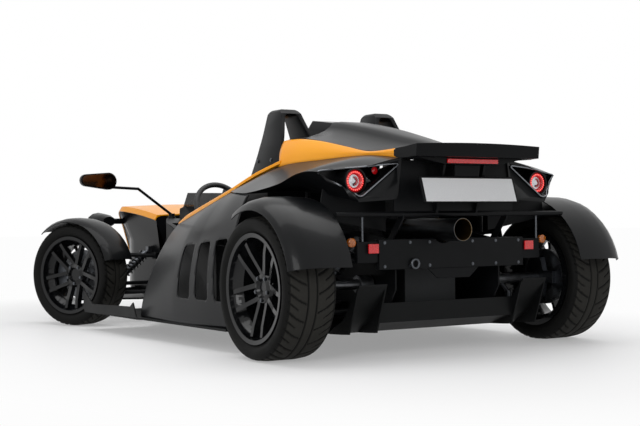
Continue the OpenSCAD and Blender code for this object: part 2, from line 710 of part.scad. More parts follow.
module brake_disc(disc_r) {
  color("#6d6f72") difference() {
    revolve(96) polygon([[0, hub_face], [hub_r + 4, hub_face], [hub_r + 6, disc_back + disc_t], [disc_r, disc_back + disc_t],
                         [disc_r, disc_back], [hub_r - 4, disc_back], [hub_r - 4, hub_face - 10], [0, hub_face - 10]]);
    rotate([90, 0, 0]) translate([0, 0, -60]) cylinder(r = spindle_r + run_gap, h = 200);
  }
}

// Uprights with their calipers, spindle and ball-joint pins

pin_z = 122;
pin_r = 9;
caliper_gap = 6;
module caliper(disc_r, mid) {
  slot_lo = disc_back - caliper_gap;
  slot_hi = disc_back + disc_t + caliper_gap;
  rotate([0, -mid, 0]) intersection() {
    revolve(64) polygon([[disc_r - 46, slot_lo - 24], [disc_r + 22, slot_lo - 24], [disc_r + 22, slot_hi + 20], [disc_r - 46, slot_hi + 20],
                         [disc_r - 46, slot_hi], [disc_r + caliper_gap, slot_hi], [disc_r + caliper_gap, slot_lo], [disc_r - 46, slot_lo]]);
    rotate([90, 0, 0]) linear_extrude(400, center = true) polygon([[0, 0], [260, -120], [260, 120]]);
  }
}
module upright(disc_r, mid, spindle) {
  inner = -kingpin_inset - 16;
  outer = -kingpin_inset + 16;
  union() {
    translate([0, outer, 0]) rotate([90, 0, 0]) linear_extrude(outer - inner)
      polygon([[-34, -pin_z + 22], [34, -pin_z + 22], [52, -20], [52, 30], [30, pin_z - 22], [-30, pin_z - 22], [-52, 30], [-52, -20]]);
    for (s = [-1, 1]) translate([0, -kingpin_inset, s * (pin_z - 22)]) mirror([0, 0, s < 0 ? 1 : 0]) translate([0, 0, -4]) cylinder(r = pin_r, h = 46);
    caliper(disc_r, mid);
    rotate([0, -mid, 0]) translate([40, inner, -30]) cube([disc_r - 60, outer - inner - 2, 60]);
    if (spindle) translate([0, inner, 0]) rotate([-90, 0, 0]) cylinder(r = spindle_r, h = kingpin_inset + 16 + 26);
  }
}
arm_pad = [-120, -15];
arm_z = rack_z - front_tyre_r;
arm_t = 14;
module knuckle() {
  color(metal) union() {
    upright(front_disc_r, 0, true);
    // steering arm with the flat pad the tie rod's stud stands on
    translate([0, -kingpin_inset, arm_z - 30 - arm_t]) union() {
      translate([arm_pad[0], arm_pad[1], 0]) cylinder(r = 26, h = arm_t);
      linear_extrude(arm_t) polygon([[arm_pad[0], arm_pad[1] - 14], [arm_pad[0], arm_pad[1] + 14], [-20, 12], [-20, -12]]);
    }
  }
}
shaft_in = -(rear_track / 2 - plate_y - 5);
module rear_disc() {
  color("#6d6f72") union() {
    brake_disc(rear_disc_r);
    translate([0, shaft_in, 0]) rotate([-90, 0, 0]) cylinder(r = spindle_r, h = 36 - shaft_in);
    translate([0, shaft_in, 0]) rotate([-90, 0, 0]) cylinder(r = 42, h = 70);
  }
}
module rear_upright() {
  color(metal) difference() {
    upright(rear_disc_r, 180, false);
    rotate([90, 0, 0]) translate([0, 0, -20]) cylinder(r = spindle_r + run_gap, h = 200);
  }
}

// A wheel's place: left side, then mirrored for the right
module at_front(s) {
  translate([xf, s * (front_track / 2 - kingpin_inset), front_tyre_r]) rotate([0, 0, park_steer])
    side(s) translate([0, kingpin_inset, 0]) children();
}
module at_rear(s) {
  side(s) translate([xr, rear_track / 2, rear_tyre_r]) children();
}

// Rack: one bar with the tie rods, shifted by the parked steering angle

function arm_y(t) = arm_pad[0] * sin(t) + arm_pad[1] * cos(t);
function arm_x(t) = arm_pad[0] * cos(t) - arm_pad[1] * sin(t);
module steering_rack() {
  stud_y = front_track / 2 - kingpin_inset;
  left = stud_y + arm_y(park_steer);
  right = -stud_y + arm_pad[0] * sin(park_steer) - arm_pad[1] * cos(park_steer);
  color(metal) union() {
    translate([xf + rack_a, right, rack_z]) rotate([-90, 0, 0]) cylinder(r = rack_r, h = left - right);
    for (y = [left, right]) translate([xf + rack_a, y, rack_z - 30 + seam]) cylinder(r = 11, h = 46);
  }
}

// Wishbones

bracket = [52, 34, 40];
module wishbone(eye, legs, face, r) {
  difference() {
    union() {
      for (p = legs) tube(eye, [p[0], face + bracket[1] / 2, p[1]], r);
      for (p = legs) translate([p[0] - bracket[0] / 2, face, p[1] - bracket[2] / 2]) cube(bracket);
      translate(eye - [0, 0, 15]) cylinder(r = 24, h = 30);
      children();
    }
    translate(eye - [0, 0, 60]) cylinder(r = pin_r + run_gap, h = 120);
  }
}
front_upper = front_tyre_r + pin_z;
front_lower = front_tyre_r - pin_z;
rear_upper = rear_tyre_r + pin_z;
rear_lower = rear_tyre_r - pin_z;
damper_y = 590;
seat_h = 24;
// Cross plate between a lower wishbone's legs, under the damper's foot.
module damper_seat(x0, x1, z) {
  translate([x0, damper_y - 20, z - 12]) cube([x1 - x0, 40, 12 + seat_h]);
}
module front_wishbone_set() {
  y = front_track / 2 - kingpin_inset;
  color(metal) wishbone([xf, y, front_upper], [[xf + 110, front_upper - 16], [xf - 130, front_upper - 16]],
                        nose_half + run_gap, 12);
  color(metal) wishbone([xf, y, front_lower], [[xf + 200, front_lower + 10], [xf - 170, front_lower + 10]],
                        nose_half + run_gap, 13)
    damper_seat(xf - 60, xf + 72, front_lower);
}
module rear_wishbone_set() {
  y = rear_track / 2 - kingpin_inset;
  color(metal) wishbone([xr, y, rear_upper], [[xr + 200, rear_upper - 10], [xr - 120, rear_upper - 10]], plate_y, 13);
  color(metal) wishbone([xr, y, rear_lower], [[xr + 230, rear_lower + 12], [xr - 130, rear_lower + 12]], plate_y, 14)
    damper_seat(xr - 44, xr + 86, rear_lower);
}

// Dampers: spring and strut from the lower wishbone to the body

module damper(x, z, face, damper_top) {
  p = [x, damper_y, z + seat_h + 24];
  q = [x, face + 14, damper_top];
  color("#c8641a") union() {
    translate([x, damper_y, z + seat_h + run_gap]) cylinder(r = 16, h = 30);
    tube(p, q, 10);
    tube(mix(p, q, 0.2), mix(p, q, 0.9), 22);
    translate([x - 20, face, damper_top - 18]) cube([40, 28, 36]);
  }
}
module dampers() {
  both_sides() damper(xf - 10, front_lower, nose_half + run_gap, 450);
  both_sides() damper(xr + 70, rear_lower, plate_y, 520);
}

// Engine, gearbox and exhaust

module engine_block() {
  color("#2a2b2d") union() {
    translate([xr + 130, run_gap + 8 - plate_y, 190]) cube([400, 2 * (plate_y - 8 - run_gap), 300]);
    translate([xr + 180, -240, 480]) cube([280, 480, 240]);
    translate([xr - 60, -150, 180]) cube([200, 300, 240]);
  }
}
exhaust_y = 60;
exhaust_z = 568;
exhaust_r = 52;
module exhaust() {
  color("#3a3d40") difference() {
    union() {
      translate([xr - 384, exhaust_y, exhaust_z]) rotate([0, 90, 0]) cylinder(r = exhaust_r, h = 560);
      tube([xr + 100, exhaust_y, exhaust_z], [xr + 179.5, exhaust_y, exhaust_z], 30);
    }
    translate([xr - 390, exhaust_y, exhaust_z]) rotate([0, 90, 0]) cylinder(r = exhaust_r - 3, h = 300);
  }
}

// Rear subframe: side plates, cross tube and struts

panel_a = -200;
cross_z = 640;
cross_half = rear_track / 2 + rear_fender_profile[0][0] - run_gap;
module rear_subframe() {
  color("#26272a") union() {
    both_sides() side_plate([for (p = [[bay_end - seam, 180], [bay_end - seam, 560], [500, 600], [60, 560], [panel_a + 0.5, 520], [panel_a + 0.5, 300],
                                       [-165, 250], [-156, 175], [60, 150]])
                             [xr + p[0], p[1]]], plate_y - 8, plate_y);
    translate([xr - 254, -cross_half, cross_z]) rotate([-90, 0, 0]) cylinder(r = 11, h = 2 * cross_half);
    // posts under the tail spoiler
    both_sides() side_plate([for (p = [[-244, cross_z], [-264, cross_z], [-330, spoiler_keel - run_gap], [-306, spoiler_keel - run_gap]])
                             [xr + p[0], p[1]]], 110, 122);
    // outriggers and dowels that carry the tail pods
    both_sides() translate([xr + dowel_a - 16, plate_y - 4, 520]) cube([32, dowel_y - plate_y + 16, 30]);
    both_sides() translate([xr + dowel_a, dowel_y, 530]) cylinder(r = dowel_r, h = dowel_top - 530);
    both_sides() side_plate([for (p = [[panel_a + 40, 500], [panel_a + 80, 500], [-244, cross_z + 8], [-264, cross_z + 8], [-264, cross_z - 20]]) [xr + p[0], p[1]]], plate_y - 8, plate_y);
  }
}

// Rear crash panel, plate holder and lamps

module rear_panel() {
  color(satin_black) translate([xr + panel_a - 40, 0, 0]) union() {
    difference() {
      translate([0, -531, 392]) cube([40, 1062, 136]);
      translate([-10, exhaust_y, exhaust_z]) rotate([0, 90, 0]) cylinder(r = exhaust_r + 8, h = 60);
    }
  }
}
module plate_holder() {
  color(satin_black) union() {
    translate([xr - 345, 0, 803]) rotate([0, 18, 0]) translate([0, -273, -118]) cube([8, 546, 124]);
    translate([xr - 342, -70, 797]) cube([12, 140, spoiler_keel - run_gap - 797]);
  }
}
module number_plate() {
  color("#e8e9ea") translate([xr - 345, 0, 803]) rotate([0, 18, 0]) translate([-2.4, -260, -114]) cube([2, 520, 110]);
}

lamp_y = 532;
lamp_z = 788;
lamp_r = 54;
module tail_lamps() {
  color("#c8151c") {
    both_sides() translate([xr - tail_cut + recess_deep - 400.5, lamp_y, lamp_z]) rotate([0, 90, 0]) difference() {
      translate([0, 0, 340]) cylinder(r = lamp_r, h = 60);
      translate([0, 0, 330]) cylinder(r = lamp_r - 14, h = 30);
    }
  }
}
module rear_markers() {
  color("#d0101c") both_sides()
    translate([xr + panel_a - 40.4 - 8, 453 - 27, 488 - 21]) cube([8, 54, 42]);
}

module radiators() {
  color("#303236") both_sides() translate([xr + 560, tub_half + 20, floor_top]) cube([420, 60, 380]);
}

// What is drawn

tub();
floor_pan();
diffuser();
nose_body();
nose_top();
front_splitter();
both_sides() headlamp();  // headlamps
both_sides() headlamp_lens();  // headlamp_lenses
side_panel();  // side_panel_left
mirror([0, 1, 0]) side_panel();  // side_panel_right
flank();  // flank_left
mirror([0, 1, 0]) flank();  // flank_right
both_sides() tail_pod();  // tail_pods
engine_cover();
rear_spoiler();
both_sides() roll_hoop();  // roll_hoops
both_sides() seat_shell();  // seat_shells
both_sides() seat_pad();  // seat_pads
dashboard();
wind_deflector();
both_sides() mirror_arm();  // mirrors
both_sides() mirror_pane();  // mirror_glass
both_sides() rear_fender();  // rear_fenders
both_sides() front_wishbone_set();  // front_wishbones
both_sides() rear_wishbone_set();  // rear_wishbones
dampers();
engine_block();
exhaust();
rear_subframe();
rear_panel();
plate_holder();
number_plate();
tail_lamps();
rear_markers();
radiators();
for (s = [1, -1]) at_rear(s) rear_upright();  // rear_uprights
at_front(1) knuckle();  // knuckle_left
at_front(-1) knuckle();  // knuckle_right
at_front(1) front_fender();  // front_fender_left
at_front(-1) front_fender();  // front_fender_right
at_front(1) tyre(front_tyre_r, front_tyre_w, front_rim_r, front_rim_w);  // tyre_front_left
at_front(1) rim(front_rim_r, front_rim_w);  // rim_front_left
at_front(1) brake_disc(front_disc_r);  // disc_front_left
at_front(-1) tyre(front_tyre_r, front_tyre_w, front_rim_r, front_rim_w);  // tyre_front_right
at_front(-1) rim(front_rim_r, front_rim_w);  // rim_front_right
at_front(-1) brake_disc(front_disc_r);  // disc_front_right
at_rear(1) tyre(rear_tyre_r, rear_tyre_w, rear_rim_r, rear_rim_w);  // tyre_rear_left
at_rear(1) rim(rear_rim_r, rear_rim_w);  // rim_rear_left
at_rear(1) rear_disc();  // disc_rear_left
at_rear(-1) tyre(rear_tyre_r, rear_tyre_w, rear_rim_r, rear_rim_w);  // tyre_rear_right
at_rear(-1) rim(rear_rim_r, rear_rim_w);  // rim_rear_right
at_rear(-1) rear_disc();  // disc_rear_right
steering_wheel();
steering_rack();
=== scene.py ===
import json
import math

import bmesh
import bpy
import numpy as np
from mathutils import Matrix, Vector

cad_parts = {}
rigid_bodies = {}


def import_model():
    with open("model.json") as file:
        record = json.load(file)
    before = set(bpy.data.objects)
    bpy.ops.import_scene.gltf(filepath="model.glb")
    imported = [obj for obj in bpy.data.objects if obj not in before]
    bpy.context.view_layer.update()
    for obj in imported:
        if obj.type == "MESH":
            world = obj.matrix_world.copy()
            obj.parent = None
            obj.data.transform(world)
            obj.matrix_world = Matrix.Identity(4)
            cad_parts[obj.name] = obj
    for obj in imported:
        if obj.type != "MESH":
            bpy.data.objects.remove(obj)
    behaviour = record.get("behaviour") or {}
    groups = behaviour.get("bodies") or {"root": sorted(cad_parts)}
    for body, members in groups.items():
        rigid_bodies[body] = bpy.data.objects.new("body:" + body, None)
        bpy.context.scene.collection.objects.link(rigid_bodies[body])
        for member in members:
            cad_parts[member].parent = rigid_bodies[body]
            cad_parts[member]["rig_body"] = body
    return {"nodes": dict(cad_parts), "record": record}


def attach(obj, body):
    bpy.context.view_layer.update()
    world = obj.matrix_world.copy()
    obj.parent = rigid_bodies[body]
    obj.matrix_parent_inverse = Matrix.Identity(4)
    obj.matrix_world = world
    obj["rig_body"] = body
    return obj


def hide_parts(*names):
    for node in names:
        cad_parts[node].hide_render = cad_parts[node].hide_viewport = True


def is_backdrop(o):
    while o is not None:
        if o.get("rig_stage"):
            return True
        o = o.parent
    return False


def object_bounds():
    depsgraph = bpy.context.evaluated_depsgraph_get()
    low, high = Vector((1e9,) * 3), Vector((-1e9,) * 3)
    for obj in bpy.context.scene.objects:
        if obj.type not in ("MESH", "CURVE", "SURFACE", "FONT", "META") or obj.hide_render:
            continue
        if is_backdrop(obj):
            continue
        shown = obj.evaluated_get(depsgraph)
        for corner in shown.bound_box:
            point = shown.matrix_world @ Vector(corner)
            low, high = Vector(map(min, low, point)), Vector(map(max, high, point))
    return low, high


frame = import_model()
cad_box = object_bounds()

# Camera: a long lens low behind the car's left rear corner, fitted to the
# wheels and the plate in the photograph; a trace of roll is part of the fit.
eye = Vector((-6.0923, 3.4958, 0.6069))
yaw, pitch, roll = -0.5586, 0.0078, -0.0112
ahead = Vector((math.cos(pitch) * math.cos(yaw), math.cos(pitch) * math.sin(yaw), math.sin(pitch)))
right = Vector((math.sin(yaw), -math.cos(yaw), 0.0))
up = right.cross(ahead)
right, up = (right * math.cos(roll) + up * math.sin(roll), up * math.cos(roll) - right * math.sin(roll))
lens = bpy.data.cameras.new("photo_camera")
lens.sensor_width = 36.0
lens.lens = 68.26
lens.clip_end = 200.0
camera = bpy.data.objects.new("photo_camera", lens)
camera.matrix_world = Matrix((
    (right.x, up.x, -ahead.x, eye.x),
    (right.y, up.y, -ahead.y, eye.y),
    (right.z, up.z, -ahead.z, eye.z),
    (0, 0, 0, 1)))
bpy.context.scene.collection.objects.link(camera)
bpy.context.scene.camera = camera
bpy.context.scene.view_settings.view_transform = "Standard"


# Studio: a white painted floor that runs into a white room, with soft lamps
# above and behind. The floor keeps the car's shadow and fades to plain white.
def linear(code):
    part = [int(code[i:i + 2], 16) / 255 for i in (1, 3, 5)]
    return tuple(c / 12.92 if c <= 0.04045 else ((c + 0.055) / 1.055) ** 2.4 for c in part) + (1.0,)


def put(tree, kind, settings=None, links=None):
    node = tree.nodes.new(kind)
    for key, value in (settings or {}).items():
        if isinstance(key, int) or key in node.inputs:
            node.inputs[key].default_value = value
        else:
            setattr(node, key, value)
    for key, source in (links or {}).items():
        tree.links.new(source, node.inputs[key])
    return node


def begin(name, **values):
    material = bpy.data.materials.new(name)
    material.use_nodes = True
    tree = material.node_tree
    shader = tree.nodes["Principled BSDF"]
    for key, value in values.items():
        shader.inputs[key.replace("_", " ")].default_value = value
    place = put(tree, "ShaderNodeTexCoord").outputs["Object"]
    return material, tree, shader, place


floor_mesh = bpy.data.meshes.new("studio_floor")
floor_mesh.from_pydata([(-60, -60, 0), (60, -60, 0), (60, 60, 0), (-60, 60, 0)], [], [(0, 1, 2, 3)])
floor = bpy.data.objects.new("studio_floor", floor_mesh)
bpy.context.scene.collection.objects.link(floor)
# Matt white paint: takes the soft shadow under the car and fades to plain white.
floor_paint, tree, shader, place = begin("painted_studio_floor", Roughness=0.55, Base_Color=linear("#f2f2f3"))
oval = put(tree, "ShaderNodeVectorMath", {"operation": "MULTIPLY", 1: (0.62, 1.0, 0.0)}, {0: place})
reach = put(tree, "ShaderNodeVectorMath", {"operation": "LENGTH"}, {0: oval.outputs[0]})
fade = put(tree, "ShaderNodeMapRange",
           {"From Min": 1.1, "From Max": 2.5, "To Min": 0.3, "interpolation_type": "SMOOTHSTEP"},
           {"Value": reach.outputs["Value"]})
rays = put(tree, "ShaderNodeLightPath")
mirrored = put(tree, "ShaderNodeMath", {"operation": "MAXIMUM"},
               {0: rays.outputs["Is Glossy Ray"], 1: rays.outputs["Is Transmission Ray"]})
seen = put(tree, "ShaderNodeMath", {"operation": "MAXIMUM"},
           {0: rays.outputs["Is Camera Ray"], 1: mirrored.outputs[0]})
share = put(tree, "ShaderNodeMath", {"operation": "MULTIPLY"}, {0: seen.outputs[0], 1: fade.outputs[0]})
white = put(tree, "ShaderNodeEmission", {"Color": linear("#fdfdfd"), "Strength": 1.0})
mixed = put(tree, "ShaderNodeMixShader", {}, {0: share.outputs[0], 1: shader.outputs[0], 2: white.outputs[0]})
tree.links.new(mixed.outputs[0], tree.nodes["Material Output"].inputs["Surface"])
floor_mesh.materials.append(floor_paint)
floor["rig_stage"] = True

world = bpy.data.worlds.new("studio_room")
bpy.context.scene.world = world
world.use_nodes = True
tree = world.node_tree
rays = put(tree, "ShaderNodeLightPath")
mirrored = put(tree, "ShaderNodeMath", {"operation": "MAXIMUM"},
               {0: rays.outputs["Is Glossy Ray"], 1: rays.outputs["Is Transmission Ray"]})
seen = put(tree, "ShaderNodeMath", {"operation": "MAXIMUM"},
           {0: rays.outputs["Is Camera Ray"], 1: mirrored.outputs[0]})
level = put(tree, "ShaderNodeMapRange", {"To Min": 0.3, "To Max": 1.0}, {"Value": seen.outputs[0]})
tree.links.new(level.outputs[0], tree.nodes["Background"].inputs["Strength"])
tree.nodes["Background"].inputs["Color"].default_value = (1, 1, 1, 1)
for name, spot, aim, size, power in (
        ("overhead_bank", (-0.6, 0.2, 4.2), (0, 0, 0), (6.0, 3.2), 140),
        ("rear_left_bank", (-5.2, 4.6, 2.6), (-0.6, 0, 0.5), (3.0, 2.0), 90),
        ("side_strip", (1.0, 5.6, 2.2), (0.2, 0, 0.5), (4.0, 1.2), 20)):
    lamp = bpy.data.lights.new(name, "AREA")
    lamp.shape = "RECTANGLE"
    lamp.size, lamp.size_y = size
    lamp.energy = power
    bank = bpy.data.objects.new(name, lamp)
    bank.location = spot
    bank.rotation_euler = (Vector(aim) - Vector(spot)).to_track_quat("-Z", "Y").to_euler()
    bpy.context.scene.collection.objects.link(bank)


# Tub, dashboard and seat shells: one-piece mouldings of carbon fibre laminate,
# cured in a mould and lacquered satin; the tub carries everything else.
def hand_over(piece, body, slot, *nodes):
    if piece.name not in bpy.context.scene.collection.objects:
        bpy.context.scene.collection.objects.link(piece)
    if nodes:
        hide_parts(*nodes)
    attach(piece, body)
    return piece


def soften(piece, width, sharp):
    rounding = piece.modifiers.new("edges", "BEVEL")
    rounding.width, rounding.segments = width, 2
    rounding.limit_method, rounding.angle_limit = "ANGLE", math.radians(sharp)
    return rounding


def from_cad(node, finish, sharp=32.0, levels=0, edge=0.0):
    source = frame["nodes"][node]
    mesh = source.data.copy()
    mesh.name = node + "_skin"
    mesh.materials.clear()
    mesh.materials.append(finish)
    shape = bmesh.new()
    shape.from_mesh(mesh)
    bmesh.ops.remove_doubles(shape, verts=shape.verts, dist=1e-5)
    if levels:
        bmesh.ops.join_triangles(shape, faces=shape.faces, angle_face_threshold=math.radians(25),
                                 angle_shape_threshold=math.radians(60))
    elif edge:
        bmesh.ops.dissolve_limit(shape, angle_limit=math.radians(0.6), verts=shape.verts, edges=shape.edges)
    crease = shape.edges.layers.float.new("crease_edge")
    for e in shape.edges:
        hard = len(e.link_faces) == 2 and e.calc_face_angle() > math.radians(sharp)
        e.smooth = not hard
        e[crease] = 1.0 if hard else 0.0
    for f in shape.faces:
        f.smooth = True
        f.material_index = 0
    shape.to_mesh(mesh)
    shape.free()
    piece = bpy.data.objects.new(node + "_skin", mesh)
    if edge:
        soften(piece, edge, sharp).harden_normals = True
    if levels:
        smoothing = piece.modifiers.new("smoothing", "SUBSURF")
        smoothing.levels = smoothing.render_levels = levels
    slot = next(p["material_slot"] for p in frame["record"]["subparts"] if p["node"] == node)
    return hand_over(piece, source["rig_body"], slot, node)


# Woven tows of 3 mm, drawn at 9 mm so that they show: two near-black tones, a painted
# sheen for the tows catching the light in turn, under a thin satin lacquer.
carbon, tree, shader, place = begin("carbon_fibre_laminate", Roughness=0.42, Specular_IOR_Level=0.08,
                                    Coat_Weight=0.1, Coat_Roughness=0.25)
tows = put(tree, "ShaderNodeTexChecker", {"Scale": 1 / 0.009, "Color1": linear("#111214"),
                                          "Color2": linear("#08090a")}, {"Vector": place})
cloud = put(tree, "ShaderNodeTexNoise", {"Scale": 9.0, "Detail": 3.0}, {"Vector": place})
tone = put(tree, "ShaderNodeMix", {"data_type": "RGBA", "blend_type": "MULTIPLY", 0: 0.25},
           {6: tows.outputs["Color"], 7: cloud.outputs["Color"]})
tree.links.new(tone.outputs[2], shader.inputs["Base Color"])
bump = put(tree, "ShaderNodeBump", {"Strength": 0.12, "Distance": 0.0006}, {"Height": tows.outputs["Fac"]})
tree.links.new(bump.outputs[0], shader.inputs["Normal"])
from_cad("tub", carbon, edge=0.005)
from_cad("dashboard", carbon, edge=0.006)
from_cad("seat_shells", carbon, sharp=50.0, levels=2)

# Floor pan, diffuser and splitter: vacuum-moulded laminate with a coarse
# satin black surface, screwed under the tub and scuffed by the road.

# Unpolished laminate with road dust: flat black, a little paler and rougher in patches.
road_black, tree, shader, place = begin("road_scuffed_laminate", Specular_IOR_Level=0.12)
grit = put(tree, "ShaderNodeTexNoise", {"Scale": 1 / 0.004, "Detail": 4.0}, {"Vector": place})
dirt = put(tree, "ShaderNodeTexNoise", {"Scale": 1 / 0.22, "Detail": 5.0}, {"Vector": place})
tone = put(tree, "ShaderNodeValToRGB", {}, {0: dirt.outputs["Fac"]})
tone.color_ramp.elements[0].color = linear("#090a0a")
tone.color_ramp.elements[1].color = linear("#141516")
tree.links.new(tone.outputs[0], shader.inputs["Base Color"])
wear_and_sheen = put(tree, "ShaderNodeMapRange", {"To Min": 0.38, "To Max": 0.62}, {"Value": dirt.outputs["Fac"]})
tree.links.new(wear_and_sheen.outputs[0], shader.inputs["Roughness"])
bump = put(tree, "ShaderNodeBump", {"Strength": 0.15, "Distance": 0.0008}, {"Height": grit.outputs["Fac"]})
tree.links.new(bump.outputs[0], shader.inputs["Normal"])
for node in ("floor_pan", "diffuser", "front_splitter"):
    from_cad(node, road_black, edge=0.002)

# Nose: a hollow crash box of satin black laminate on the tub's front, closed
# by a lid of gloss orange moulding that wraps its top edges.

# Satin black moulding: deep black, soft wide highlights, hardly any grain.
satin, tree, shader, place = begin("satin_black_moulding", Specular_IOR_Level=0.06,
                                   Coat_Weight=0.05, Coat_Roughness=0.18)
film = put(tree, "ShaderNodeTexNoise", {"Scale": 1 / 0.35, "Detail": 4.0}, {"Vector": place})
tone = put(tree, "ShaderNodeValToRGB", {}, {0: film.outputs["Fac"]})
tone.color_ramp.elements[0].color = linear("#090a0b")
tone.color_ramp.elements[1].color = linear("#101113")
tree.links.new(tone.outputs[0], shader.inputs["Base Color"])
matting = put(tree, "ShaderNodeMapRange", {"To Min": 0.24, "To Max": 0.34}, {"Value": film.outputs["Fac"]})
tree.links.new(matting.outputs[0], shader.inputs["Roughness"])
peel = put(tree, "ShaderNodeTexNoise", {"Scale": 1 / 0.003, "Detail": 2.0}, {"Vector": place})
bump = put(tree, "ShaderNodeBump", {"Strength": 0.05, "Distance": 0.0004}, {"Height": peel.outputs["Fac"]})
tree.links.new(bump.outputs[0], shader.inputs["Normal"])
from_cad("nose_body", satin, edge=0.003)

# Gloss paint over a primed moulding: even colour, clear lacquer, faint orange peel.
orange, tree, shader, place = begin("orange_gloss_paint", Roughness=0.36, Specular_IOR_Level=0.2,
                                    Coat_Weight=0.2, Coat_Roughness=0.06)
film = put(tree, "ShaderNodeTexNoise", {"Scale": 1 / 0.5, "Detail": 3.0}, {"Vector": place})
tone = put(tree, "ShaderNodeValToRGB", {}, {0: film.outputs["Fac"]})
tone.color_ramp.elements[0].color = linear("#f29600")
tone.color_ramp.elements[1].color = linear("#ffae0c")
tree.links.new(tone.outputs[0], shader.inputs["Base Color"])
peel = put(tree, "ShaderNodeTexNoise", {"Scale": 1 / 0.004, "Detail": 1.0}, {"Vector": place})
bump = put(tree, "ShaderNodeBump", {"Strength": 0.03, "Distance": 0.0003}, {"Height": peel.outputs["Fac"]})
tree.links.new(bump.outputs[0], shader.inputs["Normal"])
from_cad("nose_top", orange, sharp=40.0, levels=2)

# Headlamps: egg-shaped satin black shells on short arms from the nose, each
# with one round lamp behind a clear moulded lens.
from_cad("headlamps", satin, sharp=40.0)
# Moulded clear plastic: bright edges and faint upright flutes.
clear, tree, shader, place = begin("clear_moulded_lens", Roughness=0.04, Transmission_Weight=0.85, IOR=1.49)
flutes = put(tree, "ShaderNodeTexWave", {"wave_type": "BANDS", "bands_direction": "Y", "Scale": 1 / 0.03},
             {"Vector": place})
tone = put(tree, "ShaderNodeValToRGB", {}, {0: flutes.outputs["Fac"]})
tone.color_ramp.elements[0].color = linear("#dfe5ea")
tone.color_ramp.elements[1].color = linear("#f4f7f9")
tree.links.new(tone.outputs[0], shader.inputs["Base Color"])
bump = put(tree, "ShaderNodeBump", {"Strength": 0.3, "Distance": 0.001}, {"Height": flutes.outputs["Fac"]})
tree.links.new(bump.outputs[0], shader.inputs["Normal"])
from_cad("headlamp_lenses", clear, edge=0.003)

# Rear subframe: side plates, cross tube and posts of sheet steel, welded and
# powder coated black, bolted to the tub's rear box.

# Powder coat on steel: black with a fine orange-skin grain and dull highlights.
coat, tree, shader, place = begin("black_powder_coat", Specular_IOR_Level=0.1)
orange_skin = put(tree, "ShaderNodeTexNoise", {"Scale": 1 / 0.0025, "Detail": 2.0}, {"Vector": place})
dust = put(tree, "ShaderNodeTexNoise", {"Scale": 1 / 0.12, "Detail": 4.0}, {"Vector": place})
tone = put(tree, "ShaderNodeValToRGB", {}, {0: dust.outputs["Fac"]})
tone.color_ramp.elements[0].color = linear("#08090a")
tone.color_ramp.elements[1].color = linear("#141517")
tree.links.new(tone.outputs[0], shader.inputs["Base Color"])
matting = put(tree, "ShaderNodeMapRange", {"To Min": 0.32, "To Max": 0.5}, {"Value": dust.outputs["Fac"]})
tree.links.new(matting.outputs[0], shader.inputs["Roughness"])
bump = put(tree, "ShaderNodeBump", {"Strength": 0.12, "Distance": 0.0004}, {"Height": orange_skin.outputs["Fac"]})
tree.links.new(bump.outputs[0], shader.inputs["Normal"])
from_cad("rear_subframe", coat, edge=0.0012)

# Engine and gearbox: one plain cast block stands for the hidden mass; its
# sand-cast skin shows only through the tail's gaps.

# Sand-cast skin: dark, coarse and dull.
cast, tree, shader, place = begin("sand_cast_iron", Metallic=0.4)
sand = put(tree, "ShaderNodeTexNoise", {"Scale": 1 / 0.005, "Detail": 5.0}, {"Vector": place})
tone = put(tree, "ShaderNodeValToRGB", {}, {0: sand.outputs["Fac"]})
tone.color_ramp.elements[0].color = linear("#161718")
tone.color_ramp.elements[1].color = linear("#343638")
tree.links.new(tone.outputs[0], shader.inputs["Base Color"])
matting = put(tree, "ShaderNodeMapRange", {"To Min": 0.5, "To Max": 0.75}, {"Value": sand.outputs["Fac"]})
tree.links.new(matting.outputs[0], shader.inputs["Roughness"])
bump = put(tree, "ShaderNodeBump", {"Strength": 0.4, "Distance": 0.0012}, {"Height": sand.outputs["Fac"]})
tree.links.new(bump.outputs[0], shader.inputs["Normal"])
from_cad("engine_block", cast, edge=0.008)

# Exhaust: one large round silencer tip of stainless steel under the spoiler,
# its mouth heat-stained gold to brown on the inside.

# Brushed stainless: streaks along the pipe outside, gold at the mouth to brown within.
tip_y, tip_z = 60, 568
steel, tree, shader, place = begin("heat_stained_steel", Metallic=1.0)
scratches = put(tree, "ShaderNodeMapping", {"Scale": (12.0, 420.0, 420.0)}, {"Vector": place})
brushing = put(tree, "ShaderNodeTexNoise", {"Scale": 1.0, "Detail": 3.0}, {"Vector": scratches.outputs[0]})
along_x = put(tree, "ShaderNodeSeparateXYZ", {}, {0: place})
axis = put(tree, "ShaderNodeVectorMath", {"operation": "SUBTRACT", 1: (0.0, tip_y / 1000, tip_z / 1000)},
           {0: place})
flat = put(tree, "ShaderNodeVectorMath", {"operation": "MULTIPLY", 1: (0.0, 1.0, 1.0)}, {0: axis.outputs[0]})
radius = put(tree, "ShaderNodeVectorMath", {"operation": "LENGTH"}, {0: flat.outputs[0]})
inside = put(tree, "ShaderNodeMapRange", {"From Min": 0.0496, "From Max": 0.0502, "To Min": 1.0, "To Max": 0.0},
             {"Value": radius.outputs["Value"]})
stain = put(tree, "ShaderNodeMapRange", {"From Min": -1.81, "From Max": -1.52}, {"Value": along_x.outputs[0]})
inner = put(tree, "ShaderNodeValToRGB", {}, {0: stain.outputs[0]})
inner.color_ramp.elements[0].color = linear("#8f7448")
inner.color_ramp.elements[1].color = linear("#2c2018")
outer = put(tree, "ShaderNodeValToRGB", {}, {0: brushing.outputs["Fac"]})
outer.color_ramp.elements[0].color = linear("#37393c")
outer.color_ramp.elements[1].color = linear("#5d6063")
tone = put(tree, "ShaderNodeMix", {"data_type": "RGBA"},
           {0: inside.outputs[0], 6: outer.outputs[0], 7: inner.outputs[0]})
tree.links.new(tone.outputs[2], shader.inputs["Base Color"])
